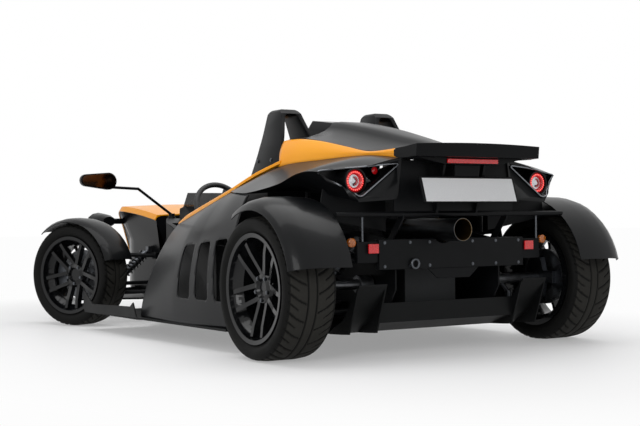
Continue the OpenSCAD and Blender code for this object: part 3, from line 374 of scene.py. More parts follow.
matting = put(tree, "ShaderNodeMapRange", {"To Min": 0.24, "To Max": 0.42}, {"Value": brushing.outputs["Fac"]})
tree.links.new(matting.outputs[0], shader.inputs["Roughness"])
from_cad("exhaust", steel, edge=0.001)

# Wishbones, uprights and steering: welded steel tubes with a black coat, cast
# and machined alloy uprights, all pinned to the nose and the rear plates.

# Machined alloy: grey metal with fine uneven cutter marks.
alloy, tree, shader, place = begin("machined_alloy", Metallic=1.0)
passes = put(tree, "ShaderNodeTexNoise", {"Scale": 1 / 0.006, "Detail": 4.0}, {"Vector": place})
tone = put(tree, "ShaderNodeValToRGB", {}, {0: passes.outputs["Fac"]})
tone.color_ramp.elements[0].color = linear("#2c2e31")
tone.color_ramp.elements[1].color = linear("#6d7075")
tree.links.new(tone.outputs[0], shader.inputs["Base Color"])
matting = put(tree, "ShaderNodeMapRange", {"To Min": 0.28, "To Max": 0.5}, {"Value": passes.outputs["Fac"]})
tree.links.new(matting.outputs[0], shader.inputs["Roughness"])
for node in ("front_wishbones", "rear_wishbones", "steering_rack"):
    from_cad(node, coat, edge=0.0012)
for node in ("rear_uprights", "knuckle_left", "knuckle_right"):
    from_cad(node, alloy, edge=0.0015)


# Dampers: alloy bodies with coil springs round them; the springs are wound
# from 11 mm wire, painted black and held between two collars.
def node_group(name, inputs):
    tree = bpy.data.node_groups.new(name, "GeometryNodeTree")
    tree.interface.new_socket(name="Geometry", in_out="INPUT", socket_type="NodeSocketGeometry")
    for label, kind, value in inputs:
        socket = tree.interface.new_socket(name=label, in_out="INPUT", socket_type=kind)
        if value is not None:
            socket.default_value = value
    tree.interface.new_socket(name="Geometry", in_out="OUTPUT", socket_type="NodeSocketGeometry")
    return tree


def grown(name, points, links, turns, tree, **values):
    mesh = bpy.data.meshes.new(name)
    mesh.from_pydata([tuple(p) for p in points], links, [])
    if turns:
        mesh.attributes.new("turn", "FLOAT_VECTOR", "POINT").data.foreach_set(
            "vector", np.array(turns, dtype=np.float32).ravel())
    seed = bpy.data.objects.new(name, mesh)
    bpy.context.scene.collection.objects.link(seed)
    nodes = seed.modifiers.new("nodes", "NODES")
    nodes.node_group = tree
    for socket in tree.interface.items_tree:
        if socket.in_out == "INPUT" and socket.name.replace(" ", "_") in values:
            nodes[socket.identifier] = values[socket.name.replace(" ", "_")]
    result = bpy.data.meshes.new_from_object(seed.evaluated_get(bpy.context.evaluated_depsgraph_get()))
    seed.modifiers.remove(nodes)
    bpy.data.objects.remove(seed)
    result.name = name
    piece = bpy.data.objects.new(name, result)
    bpy.context.scene.collection.objects.link(piece)
    return piece


wire_tree = node_group("wire_on_a_path", (("Thickness", "NodeSocketFloat", 0.005),
                                          ("Sides", "NodeSocketInt", 8), ("Finish", "NodeSocketMaterial", None)))
given = put(wire_tree, "NodeGroupInput")
path = put(wire_tree, "GeometryNodeMeshToCurve", {}, {"Mesh": given.outputs["Geometry"]})
ring = put(wire_tree, "GeometryNodeCurvePrimitiveCircle", {},
           {"Resolution": given.outputs["Sides"], "Radius": given.outputs["Thickness"]})
wire = put(wire_tree, "GeometryNodeCurveToMesh", {"Fill Caps": True},
           {"Curve": path.outputs[0], "Profile Curve": ring.outputs[0]})
soft = put(wire_tree, "GeometryNodeSetShadeSmooth", {}, {"Geometry": wire.outputs[0]})
whole = put(wire_tree, "GeometryNodeRealizeInstances", {}, {"Geometry": soft.outputs[0]})
painted = put(wire_tree, "GeometryNodeSetMaterial", {},
              {"Geometry": whole.outputs[0], "Material": given.outputs["Finish"]})
put(wire_tree, "NodeGroupOutput", {}, {"Geometry": painted.outputs[0]})

# Sprayed spring wire: near black with a thin gloss.
spring_paint, tree, shader, place = begin("spring_paint", Coat_Weight=0.4, Coat_Roughness=0.15)
chips = put(tree, "ShaderNodeTexNoise", {"Scale": 1 / 0.02, "Detail": 5.0}, {"Vector": place})
tone = put(tree, "ShaderNodeValToRGB", {}, {0: chips.outputs["Fac"]})
tone.color_ramp.elements[0].color = linear("#191a1c")
tone.color_ramp.elements[1].color = linear("#26282b")
tree.links.new(tone.outputs[0], shader.inputs["Base Color"])
matting = put(tree, "ShaderNodeMapRange", {"To Min": 0.3, "To Max": 0.5}, {"Value": chips.outputs["Fac"]})
tree.links.new(matting.outputs[0], shader.inputs["Roughness"])
from_cad("dampers", alloy, edge=0.001)
turns_of_wire, coil_r, wire_r = 8, 0.0285, 0.0055
coils, links = [], []
for foot, head in (((0.997, 0.59, 0.232), (0.997, 0.3443, 0.45)), ((-1.353, 0.59, 0.245), (-1.353, 0.32, 0.52))):
    for s in (1, -1):
        low, high = Vector(foot), Vector(head)
        low.y, high.y = s * low.y, s * high.y
        way = high - low
        across = way.cross(Vector((1, 0, 0))).normalized()
        beside = way.cross(across).normalized()
        start = len(coils)
        for i in range(turns_of_wire * 16 + 1):
            t = i / (turns_of_wire * 16)
            angle = 2 * math.pi * turns_of_wire * t
            around = math.cos(angle) * across + math.sin(angle) * beside
            coils.append(low + way * (0.24 + 0.62 * t) + coil_r * around)
        links += [(k, k + 1) for k in range(start, len(coils) - 1)]
springs = grown("coil_springs", coils, links, None, wire_tree, Thickness=wire_r, Sides=8, Finish=spring_paint)
hand_over(springs, "chassis", "dark_metal")

# Brake discs: cast iron rings turned on a lathe and cross-drilled, each on a
# bell behind the wheel's hub; fine turning marks run round the axis.
corners = ("front_left", "front_right", "rear_left", "rear_right")
front_axle_x, kingpin_y, front_hub_z, spindle = 1.007, 0.742, 0.306, 0.08
rear_axle_x, rear_hub_y, rear_hub_z = -1.423, 0.813, 0.319
parked_steer = math.radians(26)


def wheel_place(corner):
    s = 1 if corner.endswith("left") else -1
    flip = Matrix.Diagonal((1, s, 1, 1))
    if corner.startswith("front"):
        return (Matrix.Translation((front_axle_x, s * kingpin_y, front_hub_z))
                @ Matrix.Rotation(parked_steer, 4, "Z") @ flip @ Matrix.Translation((0, spindle, 0)))
    return flip @ Matrix.Translation((rear_axle_x, rear_hub_y, rear_hub_z))


def mark_radius(piece, corner):
    back = wheel_place(corner).inverted()
    spots = [back @ v.co for v in piece.data.vertices]
    layer = piece.data.attributes.new("from_axis", "FLOAT", "POINT")
    layer.data.foreach_set("value", [math.hypot(p.x, p.z) for p in spots])


# Turned iron: dull metal with rings from the lathe, drawn at 4 mm so that they show.
iron, tree, shader, place = begin("turned_cast_iron", Metallic=0.9)
radius = put(tree, "ShaderNodeAttribute", {"attribute_name": "from_axis"})
marks = put(tree, "ShaderNodeMath", {"operation": "MULTIPLY", 1: 2 * math.pi / 0.004}, {0: radius.outputs["Fac"]})
grooves = put(tree, "ShaderNodeMath", {"operation": "SINE"}, {0: marks.outputs[0]})
grain = put(tree, "ShaderNodeTexNoise", {"Scale": 1 / 0.03, "Detail": 4.0}, {"Vector": place})
tone = put(tree, "ShaderNodeValToRGB", {}, {0: grain.outputs["Fac"]})
tone.color_ramp.elements[0].color = linear("#4a4b4d")
tone.color_ramp.elements[1].color = linear("#7b7d80")
tree.links.new(tone.outputs[0], shader.inputs["Base Color"])
matting = put(tree, "ShaderNodeMapRange", {"From Min": -1.0, "To Min": 0.25, "To Max": 0.45},
              {"Value": grooves.outputs[0]})
tree.links.new(matting.outputs[0], shader.inputs["Roughness"])

stud_tree = node_group("heads_on_points", (
    ("Head Radius", "NodeSocketFloat", 0.006), ("Head Depth", "NodeSocketFloat", 0.004),
    ("Flats", "NodeSocketInt", 12), ("Washer", "NodeSocketFloat", 1.4), ("Finish", "NodeSocketMaterial", None)))
given = put(stud_tree, "NodeGroupInput")
head = put(stud_tree, "GeometryNodeMeshCylinder", {},
           {"Vertices": given.outputs["Flats"], "Radius": given.outputs["Head Radius"],
            "Depth": given.outputs["Head Depth"]})
wide = put(stud_tree, "ShaderNodeMath", {"operation": "MULTIPLY"},
           {0: given.outputs["Head Radius"], 1: given.outputs["Washer"]})
thin = put(stud_tree, "ShaderNodeMath", {"operation": "MULTIPLY", 1: 0.35}, {0: given.outputs["Head Depth"]})
washer = put(stud_tree, "GeometryNodeMeshCylinder", {"Vertices": 20},
             {"Radius": wide.outputs[0], "Depth": thin.outputs[0]})
both = put(stud_tree, "GeometryNodeJoinGeometry")
stud_tree.links.new(washer.outputs[0], both.inputs[0])
stud_tree.links.new(head.outputs[0], both.inputs[0])
turn = put(stud_tree, "GeometryNodeInputNamedAttribute", {"data_type": "FLOAT_VECTOR", "Name": "turn"})
aim = put(stud_tree, "FunctionNodeEulerToRotation", {}, {0: turn.outputs["Attribute"]})
spots = put(stud_tree, "GeometryNodeMeshToPoints", {}, {"Mesh": given.outputs["Geometry"]})
many = put(stud_tree, "GeometryNodeInstanceOnPoints", {},
           {"Points": spots.outputs[0], "Instance": both.outputs[0], "Rotation": aim.outputs[0]})
whole = put(stud_tree, "GeometryNodeRealizeInstances", {}, {"Geometry": many.outputs[0]})
painted = put(stud_tree, "GeometryNodeSetMaterial", {},
              {"Geometry": whole.outputs[0], "Material": given.outputs["Finish"]})
put(stud_tree, "NodeGroupOutput", {}, {"Geometry": painted.outputs[0]})


def heads(name, points, direction, finish, radius, depth, flats=6, washer=1.5):
    turn = tuple(Vector(direction).to_track_quat("Z", "Y").to_euler())
    return grown(name, points, [], [turn] * len(points), stud_tree,
                 Head_Radius=radius, Head_Depth=depth, Flats=flats, Washer=washer, Finish=finish)


# A drilled hole is drawn as a thin black spot on the disc face: painted shade where the hole is dark.
shade, tree, shader, place = begin("drilled_hole", Specular_IOR_Level=0.1)
hole_shade_tone = put(tree, "ShaderNodeTexNoise", {"Scale": 1 / 0.004}, {"Vector": place})
tone = put(tree, "ShaderNodeValToRGB", {}, {0: hole_shade_tone.outputs["Fac"]})
tone.color_ramp.elements[0].color = linear("#050505")
tone.color_ramp.elements[1].color = linear("#0d0d0d")
tree.links.new(tone.outputs[0], shader.inputs["Base Color"])
hole_count, disc_face = 48, -0.01605
for corner in corners:
    disc = from_cad("disc_" + corner, iron, edge=0.0012)
    mark_radius(disc, corner)
    to_world = wheel_place(corner)
    outward = to_world.to_3x3() @ Vector((0, 1, 0))
    reach = 0.150 if corner.startswith("front") else 0.140
    drilled = []
    for k in range(hole_count):
        angle = 2 * math.pi * k / hole_count
        r = reach - 0.012 - 0.014 * (k % 4)
        drilled.append(to_world @ Vector((r * math.cos(angle), disc_face, r * math.sin(angle))))
    holes = heads("disc_holes_" + corner, drilled, outward, shade, 0.0032, 0.0004, flats=12, washer=0.5)
    hand_over(holes, "wheel_" + corner, "disc_iron")

# Rims: cast alloy wheels with five twin spokes, lacquered gloss black, each
# held to its hub by five bolts.

# Lacquered alloy: black, with sharp small highlights on the spokes.
rim_gloss, tree, shader, place = begin("gloss_black_wheel_lacquer", Specular_IOR_Level=0.12,
                                       Coat_Weight=0.35, Coat_Roughness=0.05)
flake = put(tree, "ShaderNodeTexNoise", {"Scale": 1 / 0.09, "Detail": 3.0}, {"Vector": place})
tone = put(tree, "ShaderNodeValToRGB", {}, {0: flake.outputs["Fac"]})
tone.color_ramp.elements[0].color = linear("#060607")
tone.color_ramp.elements[1].color = linear("#101113")
tree.links.new(tone.outputs[0], shader.inputs["Base Color"])
matting = put(tree, "ShaderNodeMapRange", {"To Min": 0.16, "To Max": 0.3}, {"Value": flake.outputs["Fac"]})
tree.links.new(matting.outputs[0], shader.inputs["Roughness"])
bolt_circle, hub_depth = 0.053, 0.046
for corner in corners:
    from_cad("rim_" + corner, rim_gloss, edge=0.0016)
    to_world = wheel_place(corner)
    outward = to_world.to_3x3() @ Vector((0, 1, 0))
    half = 0.098 if corner.startswith("front") else 0.120
    seats = [to_world @ Vector((bolt_circle * math.cos(a), half - hub_depth, bolt_circle * math.sin(a)))
             for a in (2 * math.pi * (k + 0.5) / 5 + math.pi / 2 for k in range(5))]
    bolts = heads("wheel_bolts_" + corner, seats, outward, alloy, 0.0075, 0.010, washer=1.25)
    hand_over(bolts, "wheel_" + corner, "bare_metal")

# Tyres: moulded rubber with a road tread of curved cross slots and two
# grooves, 5.5 mm deep; fine moulded rings run round the sidewalls.

# Moulded rubber: matt black, the worn tread paler than its slots, fine rings on the sidewall.
rubber, tree, shader, place = begin("moulded_tyre_rubber", Specular_IOR_Level=0.1)
radius = put(tree, "ShaderNodeAttribute", {"attribute_name": "from_axis"})
rings = put(tree, "ShaderNodeMath", {"operation": "MULTIPLY", 1: 2 * math.pi / 0.006}, {0: radius.outputs["Fac"]})
ribs = put(tree, "ShaderNodeMath", {"operation": "SINE"}, {0: rings.outputs[0]})
dust = put(tree, "ShaderNodeTexNoise", {"Scale": 1 / 0.06, "Detail": 6.0}, {"Vector": place})
tone = put(tree, "ShaderNodeValToRGB", {}, {0: dust.outputs["Fac"]})
tone.color_ramp.elements[0].color = linear("#0a0a0a")
tone.color_ramp.elements[1].color = linear("#161615")
worn = put(tree, "ShaderNodeAttribute", {"attribute_name": "tread"})
grey = put(tree, "ShaderNodeMix", {"data_type": "RGBA", 7: linear("#33322f")},
           {0: worn.outputs["Fac"], 6: tone.outputs[0]})
tree.links.new(grey.outputs[2], shader.inputs["Base Color"])
matting = put(tree, "ShaderNodeMapRange", {"To Min": 0.55, "To Max": 0.8}, {"Value": dust.outputs["Fac"]})
tree.links.new(matting.outputs[0], shader.inputs["Roughness"])
bump = put(tree, "ShaderNodeBump", {"Strength": 0.12, "Distance": 0.0005}, {"Height": ribs.outputs[0]})
tree.links.new(bump.outputs[0], shader.inputs["Normal"])


def smooth_step(lo, hi, x):
    t = np.clip((x - lo) / (hi - lo), 0, 1)
    return t * t * (3 - 2 * t)


def tread_depth(angle, y, half, radius_mm):
    pitches = 24
    v = np.abs(y) / half
    pitch = 2 * math.pi * radius_mm / pitches
    turn = angle / (2 * math.pi) * pitches
    depth = np.zeros_like(v * turn)
    for offset, lo, hi, wide in ((0.0, 0.22, 0.9, 4.6), (0.5, 0.5, 0.9, 3.0)):
        s = turn + offset + 0.85 * v ** 1.7 - 0.25 * np.sign(y)
        away = np.abs(s - np.floor(s) - 0.5) * pitch * 0.85
        ends = smooth_step(lo - 0.03, lo + 0.03, v) * (1 - smooth_step(hi - 0.02, hi + 0.04, v))
        depth = np.maximum(depth, 5.5 * ends * (1 - smooth_step(wide - 1.2, wide + 1.6, away)))
    gap = np.abs(v - 0.17) * half
    return np.maximum(depth, 5.5 * (1 - smooth_step(2.6, 5.2, gap)) + 0 * turn)


def tyre_mesh(corner):
    outer_r, width, rim_r, rim_w = ((306, 212, 216, 196) if corner.startswith("front") else (319, 255, 228, 240))
    bead, half, low, edge = rim_w / 2 - 11.5, width / 2, rim_r + 19, 30
    side = [(rim_r + 0.3, bead - 20), (rim_r + 0.3, bead), (low, bead + 0.5)]
    side += [(low + (outer_r - edge - low) * t,
              bead + 0.5 + (half - bead - 0.5) * math.sin(math.pi / 2 * min(1, 1.25 * t)))
             for t in np.linspace(0.08, 0.92, 8)]
    side += [(outer_r - edge + (edge - 4) * math.sin(a), half - edge + edge * math.cos(a))
             for a in np.radians(np.linspace(12, 84, 9))]
    crown = [(outer_r - 4 * max(0, (abs(y) - 0.45 * half) / (half - edge - 0.45 * half)) ** 1.3, y)
             for y in np.linspace(half - edge, edge - half, 46)]
    liner = [(rim_r + 14, 40 - bead), (rim_r + 14, bead - 40)]
    profile = side + crown + [(r, -y) for r, y in reversed(side)] + liner
    around = 600
    angle = np.linspace(0, 2 * math.pi, around, endpoint=False)[:, None]
    r = np.array([p[0] for p in profile])[None, :] + 0 * angle
    y = np.array([p[1] for p in profile])[None, :] + 0 * angle
    shoulder = r[0] > outer_r - edge + 2
    r = r - np.where(shoulder[None, :], tread_depth(angle, y, half, outer_r), 0)
    place = np.array(wheel_place(corner))
    spots = np.stack([r * np.cos(angle), y, r * np.sin(angle)], axis=-1).reshape(-1, 3) / 1000
    world_spots = spots @ place[:3, :3].T + place[:3, 3]
    m = len(profile)
    i, j = np.meshgrid(np.arange(around), np.arange(m), indexing="ij")
    faces = np.stack([i * m + j, i * m + (j + 1) % m, (i + 1) % around * m + (j + 1) % m, (i + 1) % around * m + j],
                     axis=-1).reshape(-1, 4)
    if np.linalg.det(place[:3, :3]) > 0:
        faces = faces[:, ::-1]
    mesh = bpy.data.meshes.new("tyre_" + corner)
    mesh.from_pydata(world_spots.tolist(), [], faces.tolist())
    mesh.attributes.new("from_axis", "FLOAT", "POINT").data.foreach_set("value", (r / 1000).ravel())
    worn = np.where(shoulder[None, :] & (r > outer_r - 5.2), 0.8, 0.0)
    mesh.attributes.new("tread", "FLOAT", "POINT").data.foreach_set("value", worn.ravel())
    mesh.polygons.foreach_set("use_smooth", [True] * len(mesh.polygons))
    mesh.materials.append(rubber)
    return mesh


for corner in corners:
    tyre = bpy.data.objects.new("tread_" + corner, tyre_mesh(corner))
    hand_over(tyre, "wheel_" + corner, "tyre_rubber", "tyre_" + corner)

# Radiators: a pair of brazed alloy cores behind the gills, standing on the
# floor pan beside the tub; their fins run upright.

# Radiator fins, 2 mm apart and drawn at about 4 mm so that they show: dark upright bands of
# painted shade between the fins, on a core kept near black as painted shade behind the gills.
core, tree, shader, place = begin("brazed_radiator_core", Specular_IOR_Level=0.15, Roughness=0.6)
fins = put(tree, "ShaderNodeTexWave", {"wave_type": "BANDS", "bands_direction": "X", "Scale": 1 / 0.012},
           {"Vector": place})
tone = put(tree, "ShaderNodeValToRGB", {}, {0: fins.outputs["Fac"]})
tone.color_ramp.elements[0].color = linear("#040405")
tone.color_ramp.elements[1].color = linear("#131416")
tree.links.new(tone.outputs[0], shader.inputs["Base Color"])
bump = put(tree, "ShaderNodeBump", {"Strength": 0.5, "Distance": 0.002}, {"Height": fins.outputs["Fac"]})
tree.links.new(bump.outputs[0], shader.inputs["Normal"])
from_cad("radiators", core, edge=0.003)

# Side panels: thin laminate mouldings from the floor pan to the strip on each
# side, screwed along both edges, with three tall gills in front of the wheel.
sides = ((1, "left"), (-1, "right"))


def mix(p, q, t):
    return p + (q - p) * t


def along(table, a):
    rows = np.array(table, dtype=float)
    last = len(rows) - 1
    k = int(min(max(np.searchsorted(rows[:, 0], a, side="right") - 1, 0), last - 1))
    slope = [(rows[min(i + 1, last)] - rows[max(i - 1, 0)]) / (rows[min(i + 1, last)][0] - rows[max(i - 1, 0)][0])
             for i in (k, k + 1)]
    span = rows[k + 1][0] - rows[k][0]
    s = (a - rows[k][0]) / span
    if s < 0 or s > 1:
        return rows[k] + slope[0] * (a - rows[k][0]) if s < 0 else rows[k + 1] + slope[1] * (a - rows[k + 1][0])
    return ((2 * s ** 3 - 3 * s ** 2 + 1) * rows[k] + (s ** 3 - 2 * s ** 2 + s) * span * slope[0]
            + (3 * s ** 2 - 2 * s ** 3) * rows[k + 1] + (s ** 3 - s ** 2) * span * slope[1])


def curve(points, t):
    points = [np.array(p, dtype=float) for p in points]
    while len(points) > 1:
        points = [mix(p, q, t) for p, q in zip(points, points[1:])]
    return points[0]


def made(name, spots, faces, finish, side=1, sharp=32.0, shell=0.0, edge=0.0):
    world_spots = np.array(spots) / 1000 * (1, side, 1) + (rear_axle_x, 0, 0)
    mesh = bpy.data.meshes.new(name)
    mesh.from_pydata(world_spots.tolist(), [], faces)
    mesh.materials.append(finish)
    shape = bmesh.new()
    shape.from_mesh(mesh)
    bmesh.ops.remove_doubles(shape, verts=shape.verts, dist=1e-6)
    bmesh.ops.recalc_face_normals(shape, faces=shape.faces)
    for e in shape.edges:
        e.smooth = not (len(e.link_faces) == 2 and e.calc_face_angle() > math.radians(sharp))
    for f in shape.faces:
        f.smooth = True
    shape.to_mesh(mesh)
    shape.free()
    piece = bpy.data.objects.new(name, mesh)
    bpy.context.scene.collection.objects.link(piece)
    if shell:
        wall = piece.modifiers.new("wall", "SOLIDIFY")
        wall.thickness, wall.offset = shell / 1000, -1.0
    if edge:
        soften(piece, edge / 1000, sharp)
    return piece


def loft(rows, capped=True):
    n, last = len(rows[0]), (len(rows) - 1) * len(rows[0])
    faces = [(k + j, k + j + 1, k + n + j + 1, k + n + j) for k in range(0, last, n) for j in range(n - 1)]
    if capped:
        faces += [tuple(range(n - 1)), tuple(range(last + n - 2, last - 1, -1))]
    return [p for row in rows for p in row], faces


def prism(outline, axis, lo, hi):
    spots = [np.insert(np.array(p, dtype=float), axis, level) for level in (lo, hi) for p in outline]
    n = len(outline)
    faces = [tuple(range(n)), tuple(range(2 * n - 1, n - 1, -1))]
    faces += [(k, (k + 1) % n, n + (k + 1) % n, n + k) for k in range(n)]
    return spots, faces


def joined(*blocks):
    spots, faces = [], []
    for more, sides in blocks:
        faces += [tuple(k + len(spots) for k in f) for f in sides]
        spots += list(more)
    return spots, faces


def settle(piece):
    bpy.context.view_layer.update()
    result = bpy.data.meshes.new_from_object(piece.evaluated_get(bpy.context.evaluated_depsgraph_get()))
    result.name = piece.name
    piece.modifiers.clear()
    piece.data = result


def cut(piece, operation, *tools):
    for tool in tools:
        step = piece.modifiers.new("cut", "BOOLEAN")
        step.object, step.operation, step.solver = tool, operation, "EXACT"
    settle(piece)
    for tool in tools:
        bpy.data.objects.remove(tool)


def rounded(corners, radius, steps=4):
    outline = []
    for k, here in enumerate(corners):
        here = np.array(here, dtype=float)
        back = np.array(corners[k - 1]) - here
        ahead = np.array(corners[(k + 1) % len(corners)]) - here
        first = here + back / np.linalg.norm(back) * radius
        last = here + ahead / np.linalg.norm(ahead) * radius
        outline += [tuple(curve((first, here, last), t)) for t in np.linspace(0, 1, steps + 1)]
    return outline


# Through-dyed dark moulding with a satin grain: broad soft highlights, nearly black.
anthracite, tree, shader, place = begin("anthracite_moulding", Specular_IOR_Level=0.1,
                                        Coat_Weight=0.12, Coat_Roughness=0.18)
film = put(tree, "ShaderNodeTexNoise", {"Scale": 1 / 0.4, "Detail": 4.0}, {"Vector": place})
tone = put(tree, "ShaderNodeValToRGB", {}, {0: film.outputs["Fac"]})
tone.color_ramp.elements[0].color = linear("#111213")
tone.color_ramp.elements[1].color = linear("#121315")
tree.links.new(tone.outputs[0], shader.inputs["Base Color"])
matting = put(tree, "ShaderNodeMapRange", {"To Min": 0.34, "To Max": 0.46}, {"Value": film.outputs["Fac"]})
tree.links.new(matting.outputs[0], shader.inputs["Roughness"])
grain = put(tree, "ShaderNodeTexNoise", {"Scale": 1 / 0.002, "Detail": 2.0}, {"Vector": place})
bump = put(tree, "ShaderNodeBump", {"Strength": 0.06, "Distance": 0.0003}, {"Height": grain.outputs["Fac"]})
tree.links.new(bump.outputs[0], shader.inputs["Normal"])

panel_rear, strip_bend, panel_front = 378, 829, 1545
strip_line = ((552, 455, 905), (690, 540, 838), (829, 600, 765), (1200, 578, 682), (1545, 552, 606))
shoulder_rear = ((378, 742, 742), (600, 690, 752), (829, 600, 765))
panel_foot = ((378, 852), (700, 872), (1050, 878), (1350, 868))


def panel_point(a, t):
    foot_a = mix(panel_rear, 1350, (a - panel_rear) / (panel_front - panel_rear))
    foot = (foot_a, along(panel_foot, foot_a)[1], 113.4)
    top = along(strip_line if a >= strip_bend else shoulder_rear, a)
    bulge = min(1, max(0, (panel_front - a) / 520))
    low = (mix(foot_a, a, 0.2), foot[1] + mix(-15, 25, bulge), mix(112, top[2], 0.26))
    high = (mix(foot_a, a, 0.7), mix(top[1], foot[1], mix(0.42, 0.75, bulge)), mix(top[2], 112, 0.2))
    return curve((foot, low, high, top), t)


panel_rows = []
steps = np.linspace(0, 1, 37)
for bend in ((22, -40, 0), (20, -22, 0), (18, -9, 0), (11, -3, 0)):
    panel_rows.append([panel_point(panel_front, t) + (1 - 0.8 * t ** 4) * np.array(bend) for t in steps])
for a in np.linspace(panel_front, panel_rear, 61):
    panel_rows.append([panel_point(a, t) for t in steps])
for s, name in sides:
    panel = made("moulded_side_panel_" + name, *loft(panel_rows, capped=False), anthracite, s,
                 sharp=60.0, shell=6.0)
    tools = []
    for k in range(3):
        a, w = 474 + 190 * k, 65
        gill = [(a - w - 35, 238), (a + w - 35, 238), (a + w + 35, 534 - 0.08 * (a + w + 35 - 474)),
                (a - w + 35, 534 - 0.08 * (a - w + 35 - 474))]
        tools.append(made("gill_cutter", *prism(rounded(gill, 26), 1, 580, 1000), anthracite, s))
    cut(panel, "DIFFERENCE", *tools)
    hand_over(panel, "chassis", "anthracite", "side_panel_" + name)

# Flanks: an orange bead along each sill's top, and behind it the orange panel
# beside the engine cover; painted mouldings bonded to the sill and the pod.
flank_foot = ((-247, 312, 905), (-67, 356, 921), (250, 415, 918), (552, 455, 905), (600, 470, 886))
flank_top = ((-247, 300, 940), (-67, 345, 932), (100, 358, 962), (300, 372, 1000), (480, 382, 1022),
             (600, 388, 1024), (640, 390, 1020))
flank_rows = []
for a in np.linspace(640, -240, 49):
    foot = along(flank_foot, a - 72 * ((a + 240) / 880) ** 4)
    top = along(flank_top, a)
    waist = (mix(foot[0], a, 0.55), mix(foot[1], top[1], 0.35) + 6, mix(foot[2], top[2], 0.55))
    flank_rows.append([foot + (0, 5, -18)] + [curve((foot, waist, top), t) for t in np.linspace(0, 1, 13)])
strip_rows = []
for a in np.linspace(560, 1545, 61):
    line = along(strip_line, a) + (0, 0, 1)
    h = mix(18, 26, (a - 560) / 985) * min(1, max(0, (1635 - a) / 200))
    strip_rows.append([line + (0, dy, dz) for dy, dz in (
        (0, 0), (-0.6, 0.35 * h), (-2, 0.7 * h), (-4.5, 0.9 * h), (-8, h), (-19, h + 2), (-46, h - 2),
        (-46, h - 7), (-24, h - 7), (-24, 0), (0, 0))])
for s, name in sides:
    flank = made("orange_flank_" + name, *loft(flank_rows, capped=False), orange, s, sharp=50.0, shell=6.0)
    hand_over(flank, "chassis", "orange_paint", "flank_" + name)
    strip = made("orange_strip_" + name, *loft(strip_rows), orange, s, sharp=40.0)
    hand_over(strip, "chassis", "orange_paint")

# Tail pods: gloss black lacquered haunches behind the seats that carry the
# rear lamps, bonded to the flanks and screwed to the rear plates.

# Black lacquer: near black, with a thin clear coat that keeps small highlights.
gloss, tree, shader, place = begin("gloss_black_lacquer", Specular_IOR_Level=0.1,
                                   Coat_Weight=0.15, Coat_Roughness=0.12)
film = put(tree, "ShaderNodeTexNoise", {"Scale": 1 / 0.3, "Detail": 3.0}, {"Vector": place})
tone = put(tree, "ShaderNodeValToRGB", {}, {0: film.outputs["Fac"]})
tone.color_ramp.elements[0].color = linear("#08090a")
tone.color_ramp.elements[1].color = linear("#101113")
tree.links.new(tone.outputs[0], shader.inputs["Base Color"])
matting = put(tree, "ShaderNodeMapRange", {"To Min": 0.3, "To Max": 0.4}, {"Value": film.outputs["Fac"]})
tree.links.new(matting.outputs[0], shader.inputs["Roughness"])
pod_inner = ((-262, 306, 895), (-67, 350, 914), (250, 405, 910), (552, 440, 896), (690, 512, 826), (800, 560, 766))
pod_outer = ((-262, 604, 806), (-120, 722, 832), (100, 742, 782), (378, 741, 752), (600, 689, 758), (800, 612, 768))
pod_keel = ((-262, 540, 694), (-120, 606, 728), (100, 650, 752), (378, 700, 748), (600, 660, 755), (800, 596, 767))
pod_root = ((-262, 330, 706), (-67, 380, 750), (250, 430, 800), (552, 436, 800), (690, 500, 776), (800, 556, 764))
pod_rows = []
for a in np.linspace(-262, 800, 65):
    i, o, k, r = (along(t, a) for t in (pod_inner, pod_outer, pod_keel, pod_root))
    flare = curve((k, mix(k, o, 0.55) + (0, 8, 0), o), 0.5)
    crest = [curve((o, mix(i, o, 0.55) + (0, 6, 20), i), t) for t in np.linspace(0, 1, 13)]
    pod_rows.append([k, flare] + crest + [r, k])
recess_floor = -142
recess = rounded(((318, 868), (700, 832), (532, 712)), 26, 6)
recess_edge = [tuple(mix(np.array(p), np.array(q), t))
               for p, q in zip(recess, recess[1:] + recess[:1]) for t in (0, 0.25, 0.5, 0.75)]
for s, name in sides:
    pod = made("lacquered_pod_" + name, *loft(pod_rows), gloss, s, sharp=38.0)
    tool = made("recess_cutter", *prism(recess, 0, -300, recess_floor), gloss, s)
    cut(pod, "DIFFERENCE", tool)
    hand_over(pod, "chassis", "gloss_black", *(("tail_pods",) if s == 1 else ()))

# Painted highlight: a thin pale metal bead round the recess that stands in for the light
# caught on the recess's rounded edge.
painted_highlight_bead, tree, shader, place = begin("polished_recess_trim", Metallic=0.9)
wear_and_sheen = put(tree, "ShaderNodeTexNoise", {"Scale": 1 / 0.02, "Detail": 3.0}, {"Vector": place})
tone = put(tree, "ShaderNodeValToRGB", {}, {0: wear_and_sheen.outputs["Fac"]})
tone.color_ramp.elements[0].color = linear("#55585c")
tone.color_ramp.elements[1].color = linear("#8e9196")
tree.links.new(tone.outputs[0], shader.inputs["Base Color"])
matting = put(tree, "ShaderNodeMapRange", {"To Min": 0.25, "To Max": 0.4}, {"Value": wear_and_sheen.outputs["Fac"]})
tree.links.new(matting.outputs[0], shader.inputs["Roughness"])


def tail_at(y, z):
    for row in pod_rows:
        ring = np.array(row)
        low, high = ring[:-1, 1:], ring[1:, 1:]
        spans = (low[:, 1] > z) != (high[:, 1] > z)
        rise = np.where(spans, high[:, 1] - low[:, 1], 1)
        cross = low[:, 0] + (z - low[:, 1]) / rise * (high[:, 0] - low[:, 0])
        if np.sum(spans & (y < cross)) % 2:
            return ring[0, 0]
    return recess_floor


# The bead runs just proud of the pod along the recess edge: a painted highlight, not a real trim.
highlight_path = [Vector((rear_axle_x + (tail_at(y, z) - 1) / 1000, s * y / 1000, z / 1000))
        for s in (1, -1) for y, z in recess_edge]
n = len(recess_edge)
links = [(k + n * h, (k + 1) % n + n * h) for h in (0, 1) for k in range(n)]
beads = grown("recess_trim", highlight_path, links, None, wire_tree, Thickness=0.0034, Sides=8, Finish=painted_highlight_bead)
hand_over(beads, "chassis", "gloss_black")

